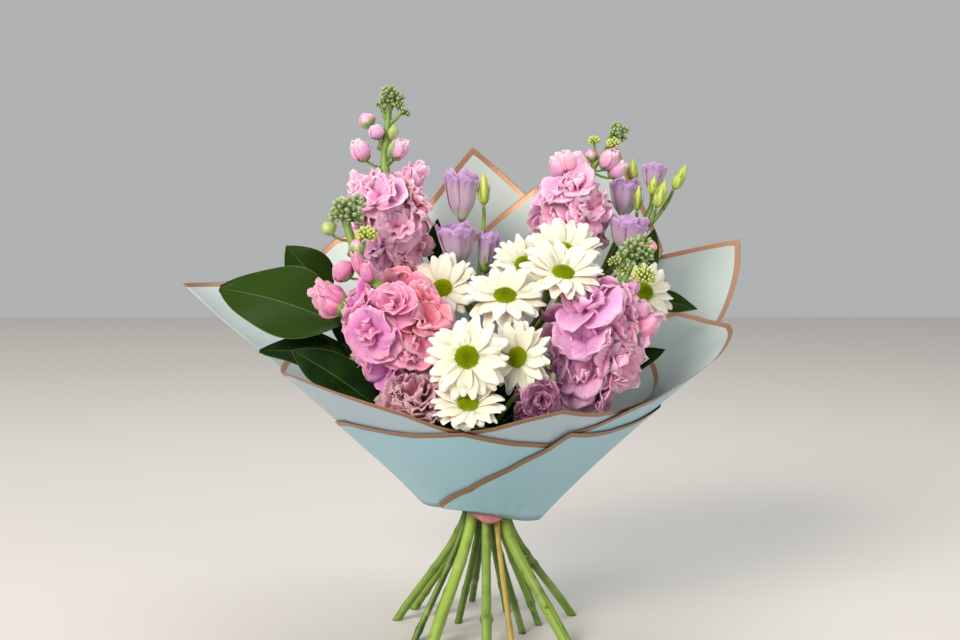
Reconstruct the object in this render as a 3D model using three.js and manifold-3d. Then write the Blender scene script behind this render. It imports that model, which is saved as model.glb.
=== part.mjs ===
// A hand-tied mixed bouquet in film wrap, standing unheld on its splayed, level-cut stems.
// Millimetres, +Z up, +X to the right and -Y towards the viewer. While it is being built, the axis of
// the stem bundle is x = y = 0 and the cut ends stand on z = 0. At the end the whole bouquet is shifted
// sideways so that the origin lies under the middle of its bounding box.
//
// Pieces: fifteen stems, five stock spikes, a carnation, nine chrysanthemum daisies, twelve
// lisianthus flowers and buds, nine leaves, eight sheets of wrapping film and the ribbon tie.

import * as THREE from 'three';
import { mergeVertices } from 'three/addons/utils/BufferGeometryUtils.js';
import Module from 'manifold-3d';

const wasm = await Module();
wasm.setup();

// ---------------------------------------------------------------- driving dimensions
const TIE_HEIGHT = 104;             // middle of the ribbon above the table
const TIE_WIDTH = 11;               // ribbon width, along the stems
const TIE_RADIUS = 22;              // inner radius, just outside the stems
const TIE_WALL = 1.2;
const TIE_TILT = -0.1;              // the ribbon sits lower on the right, radians about Y
const SEAT_GAP = 0.35;              // clearance between pieces that touch
const CUT_DEPTH = 40;               // stems are cut off level at the table

const NECK_HALF_WIDTH = 47;         // the film is gathered flat round the tie: wide in X, thin in Y
const NECK_LEAN = 1;                // it reaches this much further to the right, and less to the left
const NECK_HALF_DEPTH = 23.9;
const NECK_HEIGHT = 98.5;
const NECK_FALL = 6.6;              // the film's bottom edge falls this far to the right, rises to the left
const NECK_SAG = 3.8;               // and hangs this far lower at both sides
const SIDE_SLOPE = 1.1;             // the film flares this much outwards per mm of height
const SIDE_HOLLOW = 0.15;           // but by this much less at the foot of both sides
const HOLLOW_FADE = 0.001;          // which fades by this much per mm of rise
const BACK_SLOPE = 0.36;            // and stands up more steeply behind the flowers
const FILM = 1.1;                   // radial thickness of one sheet
const LAYER = 2.6;                  // radial distance from one layer of film to the next
const FACET = 5;                    // degrees between the rulings that all the sheets share
const LEVEL = 28;                   // height between the rows of facets that all the sheets share

const FOOT_REACH = 0.06;            // a stem is drawn this share past the table before it is cut level
const TABLE_SPAN = 400;             // wide enough to pass under every foot
const BRANCH_RADIUS = 1.5;
const KNUCKLE = 1.3;                // a fork swells to this many stem radii
const HEAD_RUN = 14;                // straight stalk behind a flower head
const SPIKE_RUN = 10;               // behind a stock spike
const LEAF_RUN = 8;                 // behind a leaf

const LEAF_THICKNESS = 1;
const LEAF_BELLY = 0.85;            // below 1 the widest place lies past the middle, towards the tip
const LEAF_ROUND = 0.8;             // below 1 the outline is rounder than a sine
const LEAF_FOLD = 0.12;             // a blade's edges rise this share of its half width above the midrib
const SPIKE_LOBES = 0.06;           // florets swell a spike's outline by this share of its radius
const SPIKE_TWIST = 0.4;            // and turn this many radians from one tier to the next

const STEM_SIDES = 8;
const STEM_STEPS = 10;
const BRANCH_SIDES = 6;
const BRANCH_STEPS = 4;
const RING_SIDES = 36;
const DAISY_SIDES = 14;
const CARNATION_SIDES = 14;
const BELL_SIDES = 10;
const BUD_SIDES = 8;
const SPIKE_SIDES = 12;
const LEAF_STATIONS = 7;
const SAME_POINT = 1e-3;            // corners closer than this are one corner
const NEARBY = 1;                   // boxes closer than this may need relieving

const SOFT_FINISH = 0.6;            // roughness of petals, stems and ribbon
const FILM_FINISH = 0.45;
const LEAF_FINISH = 0.35;
const COLOURS = {
  stem: 0x8db54a,
  ochre: 0xb09a4a,
  ribbon: 0xc98a8e,
  film: 0xa4cbd6,
  filmPale: 0xb9d3da,
  pink: 0xe48fc0,
  salmon: 0xe8859b,
  lilac: 0xd68ac8,
  dusty: 0xc77f98,
  cream: 0xf5efe0,
  lavender: 0xb79ac8,
  bud: 0xb4c05a,
  leaf: 0x2a5412,
};

// ---------------------------------------------------------------- solids
const radians = THREE.MathUtils.degToRad;
const vector = (p) => new THREE.Vector3(p[0], p[1], p[2]);

// Six times the signed volume: positive when the faces point out.
function signedVolume(position, index) {
  const [a, b, c] = [new THREE.Vector3(), new THREE.Vector3(), new THREE.Vector3()];
  let sum = 0;
  for (let i = 0; i < index.length; i += 3) {
    a.fromBufferAttribute(position, index[i]);
    b.fromBufferAttribute(position, index[i + 1]);
    c.fromBufferAttribute(position, index[i + 2]);
    sum += a.dot(b.cross(c));
  }
  return sum;
}

// A closed geometry as a solid: shared corners merged, flat triangles dropped, faces turned outwards.
function solid(geometry) {
  const bare = geometry.clone();
  bare.deleteAttribute('normal');
  bare.deleteAttribute('uv');
  const merged = mergeVertices(bare, SAME_POINT);
  const index = [];
  for (let i = 0; i < merged.index.count; i += 3) {
    const [a, b, c] = [0, 1, 2].map((k) => merged.index.getX(i + k));
    if (a !== b && b !== c && c !== a) index.push(a, b, c);
  }
  if (signedVolume(merged.attributes.position, index) < 0) index.reverse();
  return new wasm.Manifold(new wasm.Mesh({
    numProp: 3,
    vertProperties: merged.attributes.position.array,
    triVerts: new Uint32Array(index),
  }));
}

function geometryOf(body) {
  const mesh = body.getMesh();
  const geometry = new THREE.BufferGeometry();
  geometry.setAttribute('position', new THREE.BufferAttribute(mesh.vertProperties.slice(), 3));
  geometry.setIndex(new THREE.BufferAttribute(mesh.triVerts.slice(), 1));
  return geometry;
}

// Rings of points joined into one closed skin, with a point at each end.
function skin(rings, first, last) {
  const points = [first, ...rings.flat(), last];
  const sides = rings[0].length;
  const at = (ring, side) => 1 + ring * sides + (side % sides);
  const index = [];
  for (let side = 0; side < sides; side += 1) {
    index.push(0, at(0, side + 1), at(0, side));
    index.push(points.length - 1, at(rings.length - 1, side), at(rings.length - 1, side + 1));
    for (let ring = 0; ring + 1 < rings.length; ring += 1) {
      index.push(at(ring, side), at(ring, side + 1), at(ring + 1, side));
      index.push(at(ring, side + 1), at(ring + 1, side + 1), at(ring + 1, side));
    }
  }
  const geometry = new THREE.BufferGeometry().setFromPoints(points);
  geometry.setIndex(index);
  return geometry;
}

// A body swept along points, with its own radius at each of them and soft lobes round it.
function swept(path, radii, sides, lobes, twist) {
  const curve = new THREE.CatmullRomCurve3(path.map(vector), false, 'centripetal');
  const count = path.length - 1;
  const rings = [];
  for (let i = 1; i < count; i += 1) {
    const centre = vector(path[i]);
    const along = curve.getTangent(i / count);
    const across = new THREE.Vector3(0, 1, 0).cross(along).normalize();
    const up = along.clone().cross(across);
    rings.push(Array.from({ length: sides }, (_, k) => {
      const angle = (k / sides) * 2 * Math.PI + i * twist;
      const radius = radii[i] * (1 + lobes * Math.cos(3 * angle + 2 * i));
      const outwards = across.clone().multiplyScalar(Math.cos(angle)).addScaledVector(up, Math.sin(angle));
      return centre.clone().addScaledVector(outwards, radius);
    }));
  }
  return skin(rings, vector(path[0]), vector(path[count]));
}

// A round tube of constant radius along a smooth curve through points.
function tube(path, radius, steps, sides) {
  const section = new THREE.Shape();
  section.absarc(0, 0, radius, 0, 2 * Math.PI);
  return new THREE.ExtrudeGeometry(section, {
    steps,
    curveSegments: sides / 2,
    bevelEnabled: false,
    extrudePath: new THREE.CatmullRomCurve3(path.map(vector), false, 'centripetal'),
  });
}

// Turns a shape made round +Z so that it faces a direction at a place.
function facing(geometry, place, direction) {
  const upright = new THREE.Vector3(0, 0, 1);
  const turn = new THREE.Quaternion().setFromUnitVectors(upright, vector(direction).normalize());
  return geometry.applyQuaternion(turn).translate(...place);
}

// A profile of [radius, height] points turned round +Z.
function lathe(profile, sides) {
  const points = profile.map(([radius, height]) => new THREE.Vector2(radius, height));
  return new THREE.LatheGeometry(points, sides).rotateX(Math.PI / 2);
}

// ---------------------------------------------------------------- film wrap
// The wrap is a flared cone of straight rulings. Angles are in degrees round the bundle: 0 is right,
// 90 is the back, 180 is left and 270 (or -90) is the front.
const FRONT_ANGLE = -90;
const BACK_BEGINS = [5, 70];        // from the right side round to the steep back
const BACK_ENDS = [110, 172];       // and from there to the left side
const DRAWN_IN = [-45, 0];          // the free right end of a front sheet is drawn in over this span
const smooth = ([from, to], x) => THREE.MathUtils.smoothstep(x, from, to);

function neckRadius(angle) {
  const side = Math.cos(radians(angle));
  const x = side / (NECK_HALF_WIDTH + NECK_LEAN * side);
  const y = Math.sin(radians(angle)) / NECK_HALF_DEPTH;
  return 1 / Math.hypot(x, y);
}

function slopeAt(angle, rise) {
  const turn = THREE.MathUtils.euclideanModulo(angle - FRONT_ANGLE, 360) + FRONT_ANGLE;
  const behind = smooth(BACK_BEGINS, turn) * (1 - smooth(BACK_ENDS, turn));
  const hollow = Math.cos(radians(angle)) ** 2 * Math.max(0, SIDE_HOLLOW - HOLLOW_FADE * rise);
  return THREE.MathUtils.lerp(SIDE_SLOPE - hollow, BACK_SLOPE, behind);
}

function neckEdge(angle) {
  const side = Math.cos(radians(angle));
  return NECK_HEIGHT - NECK_FALL * side - NECK_SAG * side * side;
}

// A point on the wrap.
function wrapPoint(angle, height, offset, inset) {
  const rise = height - NECK_HEIGHT;
  const drawnIn = inset * smooth(DRAWN_IN, angle) * Math.max(0, rise);
  const radius = neckRadius(angle) + slopeAt(angle, rise) * rise - drawnIn + offset;
  const turn = radians(angle);
  return new THREE.Vector3(radius * Math.cos(turn), radius * Math.sin(turn), height);
}

function rimHeight(rim, angle) {
  const next = Math.max(1, rim.findIndex(([a]) => a >= angle));
  const [a0, z0] = rim[next - 1];
  const [a1, z1] = rim[next];
  return z0 + ((z1 - z0) * (angle - a0)) / (a1 - a0);
}

// One sheet: from the neck up to its rim, given as [angle, height] corners. The columns and rows are
// shared by all the sheets, so that sheets laid over each other stay parallel. Rows above the rim
// close up on it.
function filmSheet({ rim, layer, inset = 0 }) {
  const first = rim[0][0];
  const columns = Math.round((rim[rim.length - 1][0] - first) / FACET);
  const rows = Math.ceil((Math.max(...rim.map(([, z]) => z)) - NECK_HEIGHT) / LEVEL);
  const column = (angle, offset) => Array.from({ length: rows + 1 }, (_, row) => {
    const level = row === 0 ? neckEdge(angle) : NECK_HEIGHT + row * LEVEL;
    return wrapPoint(angle, Math.min(level, rimHeight(rim, angle)), offset, inset);
  });
  // Each column is one closed ring: up the outside and down the inside.
  const rings = Array.from({ length: columns + 1 }, (_, i) => {
    const angle = first + i * FACET;
    return [...column(angle, layer * LAYER + FILM), ...column(angle, layer * LAYER).reverse()];
  });
  const count = 2 * (rows + 1);
  const index = [];
  for (let i = 0; i < columns; i += 1) {
    for (let k = 0; k < count; k += 1) {
      const a = i * count + k;
      const b = i * count + ((k + 1) % count);
      index.push(a, a + count, b, b, a + count, b + count);
    }
  }
  for (let row = 0; row < rows; row += 1) {
    const quad = [row, row + 1, count - 2 - row, count - 1 - row];
    const end = quad.map((k) => k + columns * count);
    index.push(quad[0], quad[1], quad[2], quad[0], quad[2], quad[3]);
    index.push(end[2], end[1], end[0], end[3], end[2], end[0]);
  }
  const geometry = new THREE.BufferGeometry().setFromPoints(rings.flat());
  geometry.setIndex(index);
  return geometry;
}

const SHEETS = {
  wrap_front_inner: {
    layer: 0,
    inset: 0.17,
    colour: COLOURS.filmPale,
    rim: [
      [-195, 217], [-185, 212], [-175, 208], [-165, 213], [-158, 215], [-150, 211], [-134, 202],
      [-118, 191], [-108, 182], [-99, 177], [-87, 182], [-76, 189], [-65, 195], [-56, 191],
      [-48, 189], [-33, 190], [-12, 194], [8, 206], [25, 225],
    ],
  },
  wrap_front_outer: {
    layer: 1,
    colour: COLOURS.film,
    rim: [
      [-190, 152], [-172, 170], [-156, 175], [-135, 174], [-119, 173], [-99, 177], [-88, 172],
      [-78, 168], [-60, 164],
    ],
  },
  wrap_right_inner: {
    layer: 1,
    colour: COLOURS.film,
    rim: [
      [-55, 174], [-47, 178], [-40, 183], [-31, 192], [-26, 196], [-20, 206], [-10, 222],
      [10, 243], [17, 245], [26, 251], [35, 230],
    ],
  },
  wrap_front_right: {
    layer: 2,
    colour: COLOURS.film,
    rim: [
      [-145, 106], [-105, 124], [-78, 144], [-64, 160], [-57, 174], [-49, 172], [-41, 171],
      [-34, 171], [-22, 175], [-10, 181], [10, 184], [30, 172],
    ],
  },
  wrap_left: {
    layer: 2,
    colour: COLOURS.filmPale,
    rim: [[105, 262], [120, 304], [130, 322], [138, 311], [143, 295], [153, 280], [164, 276], [175, 278]],
  },
  wrap_right: {
    layer: 3,
    colour: COLOURS.film,
    rim: [[5, 178], [15, 244], [25, 312], [30, 306], [36, 298], [50, 292], [65, 282]],
  },
  wrap_back_peak: {
    layer: 1,
    colour: COLOURS.film,
    rim: [[50, 306], [72, 349], [95, 393], [116, 340], [132, 283], [140, 254]],
  },
  wrap_back_second: {
    layer: 0,
    colour: COLOURS.film,
    rim: [[35, 301], [45, 357], [50, 392], [61, 369], [90, 322], [114, 293], [125, 276]],
  },
};

// ---------------------------------------------------------------- flower heads
// Heads are built round +Z, the way that they face, with their base at z = 0 on the stalk.
function daisyHead({ radius, droop }) {
  const disc = 0.27 * radius;
  return lathe([
    [0, 0], [3.2, 0.3], [8, 7], [0.55 * radius, 10.5 - 0.4 * droop], [radius, 11 - droop],
    [radius, 13 - droop], [disc, 13.5], [0.7 * disc, 16], [0, 17],
  ], DAISY_SIDES);
}

function bellBloom({ height, width }) {
  const r = width / 2;
  return lathe([
    [0, 0], [2.4, 0.3], [0.62 * r, 0.18 * height], [0.86 * r, 0.4 * height], [0.92 * r, 0.72 * height],
    [r, 0.94 * height], [0.7 * r, height], [0, 0.9 * height],
  ], BELL_SIDES);
}

function pointedBud({ height, width }) {
  const r = width / 2;
  return lathe([
    [0, 0], [1.6, 0.2], [r, 0.32 * height], [0.8 * r, 0.62 * height], [0.3 * r, 0.88 * height], [0, height],
  ], BUD_SIDES);
}

function ruffledBloom({ radius }) {
  return lathe([
    [0, 0], [4.5, 0.4], [6.5, 16], [0.55 * radius, 19], [0.95 * radius, 25], [radius, 33],
    [0.86 * radius, 41], [0.5 * radius, 46], [0, 47],
  ], CARNATION_SIDES);
}

// Each head: its base on the stalk, the way it faces, its size and the stem that carries it.
const HEADS = {
  daisy_1: {
    make: daisyHead,
    base: [-32, -11, 269],
    faces: [-0.2, -0.78, 0.6],
    radius: 30,
    droop: 2,
    stem: 'daisy_stem_left',
    colour: COLOURS.cream,
  },
  daisy_2: {
    make: daisyHead,
    base: [14, -52, 263],
    faces: [0, -0.57, 0.82],
    radius: 31,
    droop: 3,
    stem: 'daisy_stem_front',
    colour: COLOURS.cream,
  },
  daisy_3: {
    make: daisyHead,
    base: [-14, -95, 228],
    faces: [-0.05, -0.95, 0.31],
    radius: 31,
    droop: 4,
    stem: 'daisy_stem_front',
    colour: COLOURS.cream,
  },
  daisy_4: {
    make: daisyHead,
    base: [29, -76, 226],
    faces: [-0.5, -0.82, 0.28],
    radius: 28,
    droop: 3,
    stem: 'daisy_stem_front',
    colour: COLOURS.cream,
  },
  daisy_5: {
    make: daisyHead,
    base: [-13, -103, 187],
    faces: [-0.05, -0.5, 0.86],
    radius: 27,
    droop: 3,
    stem: 'daisy_stem_front',
    colour: COLOURS.cream,
  },
  daisy_6: {
    make: daisyHead,
    base: [56.5, -51, 280],
    faces: [0.1, -0.5, 0.86],
    radius: 32,
    droop: 3,
    stem: 'daisy_stem_right',
    colour: COLOURS.cream,
  },
  daisy_7: {
    make: daisyHead,
    base: [60.5, -13, 297],
    faces: [-0.05, -0.72, 0.69],
    radius: 31,
    droop: 2,
    stem: 'daisy_stem_right',
    colour: COLOURS.cream,
  },
  daisy_8: {
    make: daisyHead,
    base: [31, -13, 287],
    faces: [-0.1, -0.72, 0.69],
    radius: 27,
    droop: 2,
    stem: 'daisy_stem_right',
    colour: COLOURS.cream,
  },
  daisy_9: {
    make: daisyHead,
    base: [121.5, 7, 266.5],
    faces: [0.35, -0.78, 0.52],
    radius: 28,
    droop: 4,
    stem: 'daisy_stem_side',
    colour: COLOURS.cream,
  },
  carnation: {
    make: ruffledBloom,
    base: [-49, -62, 182],
    faces: [-0.12, -0.72, 0.68],
    radius: 29,
    stem: 'carnation_stem',
    colour: COLOURS.dusty,
  },
  lisianthus_1: {
    make: bellBloom,
    base: [-20, 28, 328],
    faces: [0, 0, 1],
    height: 41,
    width: 26,
    stem: 'lisianthus_stem_left',
    colour: COLOURS.lavender,
  },
  lisianthus_2: {
    make: bellBloom,
    base: [-22, 8, 291],
    faces: [-0.1, -0.1, 1],
    height: 35,
    width: 28,
    stem: 'lisianthus_stem_left',
    colour: COLOURS.lavender,
  },
  lisianthus_3: {
    make: bellBloom,
    base: [-1, 14, 286],
    faces: [0.1, 0, 1],
    height: 33,
    width: 16,
    stem: 'lisianthus_stem_left',
    colour: COLOURS.lavender,
  },
  lisianthus_4: {
    make: bellBloom,
    base: [114, 44, 331],
    faces: [0.05, 0, 1],
    height: 31,
    width: 24,
    stem: 'lisianthus_stem_right',
    colour: COLOURS.lavender,
  },
  lisianthus_5: {
    make: bellBloom,
    base: [137, 42, 353],
    faces: [0.1, 0, 1],
    height: 22,
    width: 19,
    stem: 'lisianthus_stem_right',
    colour: COLOURS.lavender,
  },
  lisianthus_6: {
    make: bellBloom,
    base: [112, 10, 303],
    faces: [0.12, -0.1, 1],
    height: 30,
    width: 29,
    stem: 'lisianthus_stem_right',
    colour: COLOURS.lavender,
  },
  lisianthus_bud_1: {
    make: pointedBud,
    base: [-2, 24, 341],
    faces: [0, 0, 1],
    height: 27,
    width: 9,
    stem: 'lisianthus_stem_left',
    colour: COLOURS.bud,
  },
  lisianthus_bud_2: {
    make: pointedBud,
    base: [121, 44, 361],
    faces: [0, 0, 1],
    height: 19,
    width: 9,
    stem: 'lisianthus_stem_right',
    colour: COLOURS.bud,
  },
  lisianthus_bud_3: {
    make: pointedBud,
    base: [153.5, 32, 354],
    faces: [0.45, 0, 0.9],
    height: 23,
    width: 9,
    stem: 'lisianthus_stem_right',
    colour: COLOURS.bud,
  },
  lisianthus_bud_4: {
    make: pointedBud,
    base: [138, 22, 339],
    faces: [0.32, 0, 0.95],
    height: 24,
    width: 10,
    stem: 'lisianthus_stem_right',
    colour: COLOURS.bud,
  },
  lisianthus_bud_5: {
    make: pointedBud,
    base: [124, 34, 336.5],
    faces: [0.08, 0, 1],
    height: 22,
    width: 6.5,
    stem: 'lisianthus_stem_right',
    colour: COLOURS.bud,
  },
  lisianthus_bud_6: {
    make: pointedBud,
    base: [135.5, 28, 349],
    faces: [0.12, 0, 1],
    height: 16,
    width: 7.5,
    stem: 'lisianthus_stem_right',
    colour: COLOURS.bud,
  },
};

// Stock spikes: florets packed round the upper stem, thinning to buds at the tip.
const SPIKES = {
  stock_1: {
    path: [
      [-68, 8, 264], [-71, 9, 278], [-75, 10, 298], [-77, 11, 322], [-79, 12, 346], [-81, 14, 364],
      [-82, 16, 378], [-80, 18, 398], [-79, 20, 414], [-78, 21, 427], [-77, 22, 438],
    ],
    radii: [0, 13, 27, 34, 35, 24, 10, 12, 8, 10, 0],
    stem: 'stock_stem_1',
    colour: COLOURS.pink,
  },
  stock_2: {
    path: [
      [-50, -50, 204], [-55, -53, 214], [-62, -57, 232], [-69, -60, 254], [-78, -60, 274],
      [-90, -58, 289], [-99, -55, 306], [-105, -52, 322], [-108, -50, 334], [-111, -48, 346],
    ],
    radii: [0, 22, 39, 44, 38, 18, 8, 13, 12, 0],
    stem: 'stock_stem_2',
    colour: COLOURS.salmon,
  },
  stock_3: {
    path: [
      [58, 22, 300], [62, 24, 311], [67, 26, 326], [72, 28, 344], [79, 30, 360], [89, 34, 374],
      [98, 37, 386], [105, 39, 397], [109, 41, 407],
    ],
    radii: [0, 21, 34, 35, 26, 14, 8, 10, 0],
    stem: 'stock_stem_3',
    colour: COLOURS.pink,
  },
  stock_4: {
    path: [
      [64, -42, 182], [68, -46, 194], [76, -50, 214], [83, -51, 238], [90, -50, 260],
      [99, -46, 276], [108, -42, 288], [114, -39, 301], [118, -37, 313],
    ],
    radii: [0, 23, 36, 41, 34, 18, 12, 12, 0],
    stem: 'stock_stem_4',
    colour: COLOURS.lilac,
  },
  stock_5: {
    path: [[32, -72, 174], [34, -78, 182], [37, -85, 194], [39, -88, 206], [41, -86, 217], [44, -82, 228]],
    radii: [0, 14, 18, 15, 6, 0],
    stem: 'stock_stem_5',
    colour: COLOURS.lilac,
  },
};

// ---------------------------------------------------------------- leaves
// A leaf runs from its base to its tip; its blade is widest near the middle and bows along its length.
const LEAVES = {
  leaf_left_1: {
    base: [-113, -32, 249],
    tip: [-211, -14, 276],
    faces: [-0.2, -0.7, 0.68],
    width: 66,
    bow: 7,
    stem: 'foliage_stem_left',
  },
  leaf_left_2: {
    base: [-131, 34, 266],
    tip: [-164, 30, 308],
    faces: [0.1, -0.9, 0.3],
    width: 40,
    bow: 5,
    stem: 'foliage_stem_back',
  },
  leaf_left_3: {
    base: [-108, -36, 222],
    tip: [-176, -40, 229],
    faces: [-0.1, -0.6, 0.79],
    width: 36,
    bow: 4,
    stem: 'foliage_stem_left',
  },
  leaf_left_4: {
    base: [-84, -66, 190],
    tip: [-148, -62, 232],
    faces: [0.3, -0.85, 0.42],
    width: 36,
    bow: 5,
    stem: 'foliage_stem_left',
  },
  leaf_back: {
    base: [-44, 40, 292],
    tip: [-40, 36, 330],
    faces: [0, -1, 0.1],
    width: 15,
    bow: 3,
    stem: 'foliage_stem_back',
  },
  leaf_right_1: {
    base: [123, 24, 272],
    tip: [137, 22, 322],
    faces: [0.2, -0.95, 0.2],
    width: 20,
    bow: 4,
    stem: 'foliage_stem_right',
  },
  leaf_right_2: {
    base: [124, 30, 262],
    tip: [174, 30, 256],
    faces: [0.1, -0.75, 0.65],
    width: 22,
    bow: 5,
    stem: 'foliage_stem_right',
  },
  leaf_right_3: {
    base: [108, -8, 208],
    tip: [141, -20, 228],
    faces: [-0.2, -0.8, 0.6],
    width: 18,
    bow: 3,
    stem: 'foliage_stem_right',
  },
  leaf_front: {
    base: [-10, -84, 166],
    tip: [-17, -121, 184],
    faces: [0, -0.45, 0.89],
    width: 30,
    bow: 3,
    stem: 'daisy_stem_front',
  },
};

function leafBlade({ base, tip, faces, width, bow }) {
  const start = vector(base);
  const along = vector(tip).sub(start);
  const length = along.length();
  along.normalize();
  const across = along.clone().cross(vector(faces)).normalize();
  const normal = across.clone().cross(along);
  const ring = (t) => {
    const half = 0.5 * width * Math.sin(Math.PI * t ** LEAF_BELLY) ** LEAF_ROUND;
    const centre = start.clone().addScaledVector(along, t * length);
    centre.addScaledVector(normal, bow * Math.sin(Math.PI * t));
    const point = (x, lift) => centre.clone().addScaledVector(across, x).addScaledVector(normal, lift);
    const fold = LEAF_FOLD * half;
    const skinDepth = 0.5 * LEAF_THICKNESS;
    return [
      point(-half, fold - skinDepth),
      point(0, -skinDepth),
      point(half, fold - skinDepth),
      point(half, fold + skinDepth),
      point(0, skinDepth),
      point(-half, fold + skinDepth),
    ];
  };
  const rings = Array.from({ length: LEAF_STATIONS }, (_, i) => ring((i + 1) / (LEAF_STATIONS + 1)));
  return skin(rings, start, vector(tip));
}

// ---------------------------------------------------------------- stems
// Every stem stands on its cut end, passes through the tie and keeps to its own side of the bundle.
// `cut` is the middle of its foot on the table, `bound` its place in the tie, `fork` where a branched
// stem divides. A stem with no fork runs straight on to the head that it carries.
const STEMS = {
  stock_stem_1: {
    cut: [-61, 42],
    bound: [-9.9, 10.1],
    radius: 3.3,
    via: [[-38, 14, 180]],
  },
  stock_stem_2: {
    cut: [-44, -70],
    bound: [-10.8, -8],
    radius: 4.6,
    via: [[-30, -36, 155]],
  },
  stock_stem_3: {
    cut: [18, 34],
    bound: [4.9, 4],
    radius: 3.3,
    via: [[28, 12, 190], [44, 18, 250]],
  },
  stock_stem_4: {
    cut: [64, -62],
    bound: [11.4, -7.6],
    radius: 4.5,
    via: [[38, -28, 145]],
  },
  stock_stem_5: {
    cut: [20, -67],
    bound: [8.4, -14.4],
    radius: 2.2,
    via: [[18, -44, 142]],
    colour: COLOURS.ochre,
  },
  carnation_stem: {
    cut: [-57, -48],
    bound: [-14.4, -0.9],
    radius: 2.6,
    via: [[-36, -24, 150]],
  },
  daisy_stem_front: {
    cut: [0, -76],
    bound: [-0.6, -8.8],
    radius: 3.8,
    fork: [-2, -42, 160],
  },
  daisy_stem_right: {
    cut: [29, -25],
    bound: [4.1, -2.6],
    radius: 2.7,
    fork: [22, -20, 225],
  },
  daisy_stem_side: {
    cut: [43, -3],
    bound: [12.2, 0.4],
    radius: 2.6,
    via: [[62, -2, 180], [104, -3, 240]],
  },
  daisy_stem_left: {
    cut: [-23, 3],
    bound: [-4.6, -2.2],
    radius: 2.8,
    via: [[-24, -8, 200]],
  },
  lisianthus_stem_left: {
    cut: [-40, 26],
    bound: [-5.2, 4.2],
    radius: 3,
    via: [[-7, 6, 160]],
    fork: [-10, 9, 245],
  },
  lisianthus_stem_right: {
    cut: [40, 60],
    bound: [8.1, 10.2],
    radius: 2.6,
    via: [[30, 21, 150]],
    fork: [88, 32, 270],
  },
  foliage_stem_left: {
    cut: [-74, 11],
    bound: [-14.8, 5.3],
    radius: 3.2,
    fork: [-62, -12, 190],
  },
  foliage_stem_back: {
    cut: [-12, 66],
    bound: [-1.2, 8.9],
    radius: 2.8,
    via: [[-7, 23, 150]],
    fork: [-34, 34, 220],
  },
  foliage_stem_right: {
    cut: [72, 24],
    bound: [15.1, 5.8],
    radius: 3.2,
    fork: [80, 16, 200],
  },
};

// A stalk comes into the base of its head along the way that the head faces.
function stalkEnd(base, direction, run) {
  const back = vector(direction).normalize();
  return [run, SEAT_GAP].map((behind) => vector(base).addScaledVector(back, -behind).toArray());
}

function stemBody(name, seats) {
  const { cut, bound, radius, via = [], fork } = STEMS[name];
  const foot = [0, 1].map((k) => cut[k] + (cut[k] - bound[k]) * FOOT_REACH);
  const lower = [[...foot, -FOOT_REACH * TIE_HEIGHT], [...bound, TIE_HEIGHT], ...via];
  const upper = fork ? [fork] : stalkEnd(seats[0].base, seats[0].faces, seats[0].run);
  let body = solid(tube([...lower, ...upper], radius, STEM_STEPS, STEM_SIDES));
  if (fork) {
    body = body.add(solid(new THREE.IcosahedronGeometry(radius * KNUCKLE).translate(...fork)));
    for (const seat of seats) {
      const path = [fork, ...stalkEnd(seat.base, seat.faces, seat.run)];
      body = body.add(solid(tube(path, BRANCH_RADIUS, BRANCH_STEPS, BRANCH_SIDES)));
    }
  }
  const table = new THREE.BoxGeometry(TABLE_SPAN, TABLE_SPAN, CUT_DEPTH).translate(0, 0, -CUT_DEPTH / 2);
  return body.subtract(solid(table));
}

// ---------------------------------------------------------------- tie
function tieRing() {
  const outer = TIE_RADIUS + TIE_WALL;
  const half = TIE_WIDTH / 2;
  const section = [
    [TIE_RADIUS, -half], [outer, -half], [outer, half], [TIE_RADIUS, half], [TIE_RADIUS, -half],
  ];
  return lathe(section, RING_SIDES).rotateY(-TIE_TILT).translate(0, 0, TIE_HEIGHT);
}

// ---------------------------------------------------------------- assembly
// Pieces are added in order. Each soft piece is relieved where an earlier one passes through it, with
// the seat gap between them, as petals give way to a stem. A sliver that this cuts off is left out.
const bouquet = new THREE.Group();
const placed = [];

function grown(geometry, distance) {
  const bare = mergeVertices(geometry.clone(), SAME_POINT);
  bare.computeVertexNormals();
  const { position, normal } = bare.attributes;
  for (let i = 0; i < position.count; i += 1) {
    const point = new THREE.Vector3().fromBufferAttribute(position, i);
    point.addScaledVector(new THREE.Vector3().fromBufferAttribute(normal, i), distance);
    position.setXYZ(i, point.x, point.y, point.z);
  }
  return solid(bare);
}

function add(name, body, colour, { relieve = false, roughness = SOFT_FINISH } = {}) {
  let shape = body;
  for (const other of relieve ? placed : []) {
    const [a, b] = [shape.boundingBox(), other.box];
    const near = [0, 1, 2].every((k) => a.min[k] < b.max[k] + NEARBY && b.min[k] < a.max[k] + NEARBY);
    if (near) shape = shape.subtract(other.clearance);
  }
  if (relieve) [shape] = shape.decompose().sort((a, b) => b.volume() - a.volume());
  const geometry = geometryOf(shape);
  placed.push({ box: shape.boundingBox(), clearance: grown(geometry, SEAT_GAP) });
  geometry.computeVertexNormals();
  const material = new THREE.MeshStandardMaterial({ color: colour, roughness, metalness: 0 });
  const mesh = new THREE.Mesh(geometry, material);
  mesh.name = name;
  bouquet.add(mesh);
}

// What each stem carries: where it seats, the way it points and the straight run of stalk behind it.
function seatsOf(stem) {
  const carried = (table) => Object.values(table).filter((item) => item.stem === stem);
  const between = (from, to) => vector(to).sub(vector(from)).toArray();
  return [
    ...carried(HEADS).map(({ base, faces }) => ({ base, faces, run: HEAD_RUN })),
    ...carried(SPIKES).map(({ path: [base, on] }) => ({ base, faces: between(base, on), run: SPIKE_RUN })),
    ...carried(LEAVES).map(({ base, tip }) => ({ base, faces: between(base, tip), run: LEAF_RUN })),
  ];
}

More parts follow.
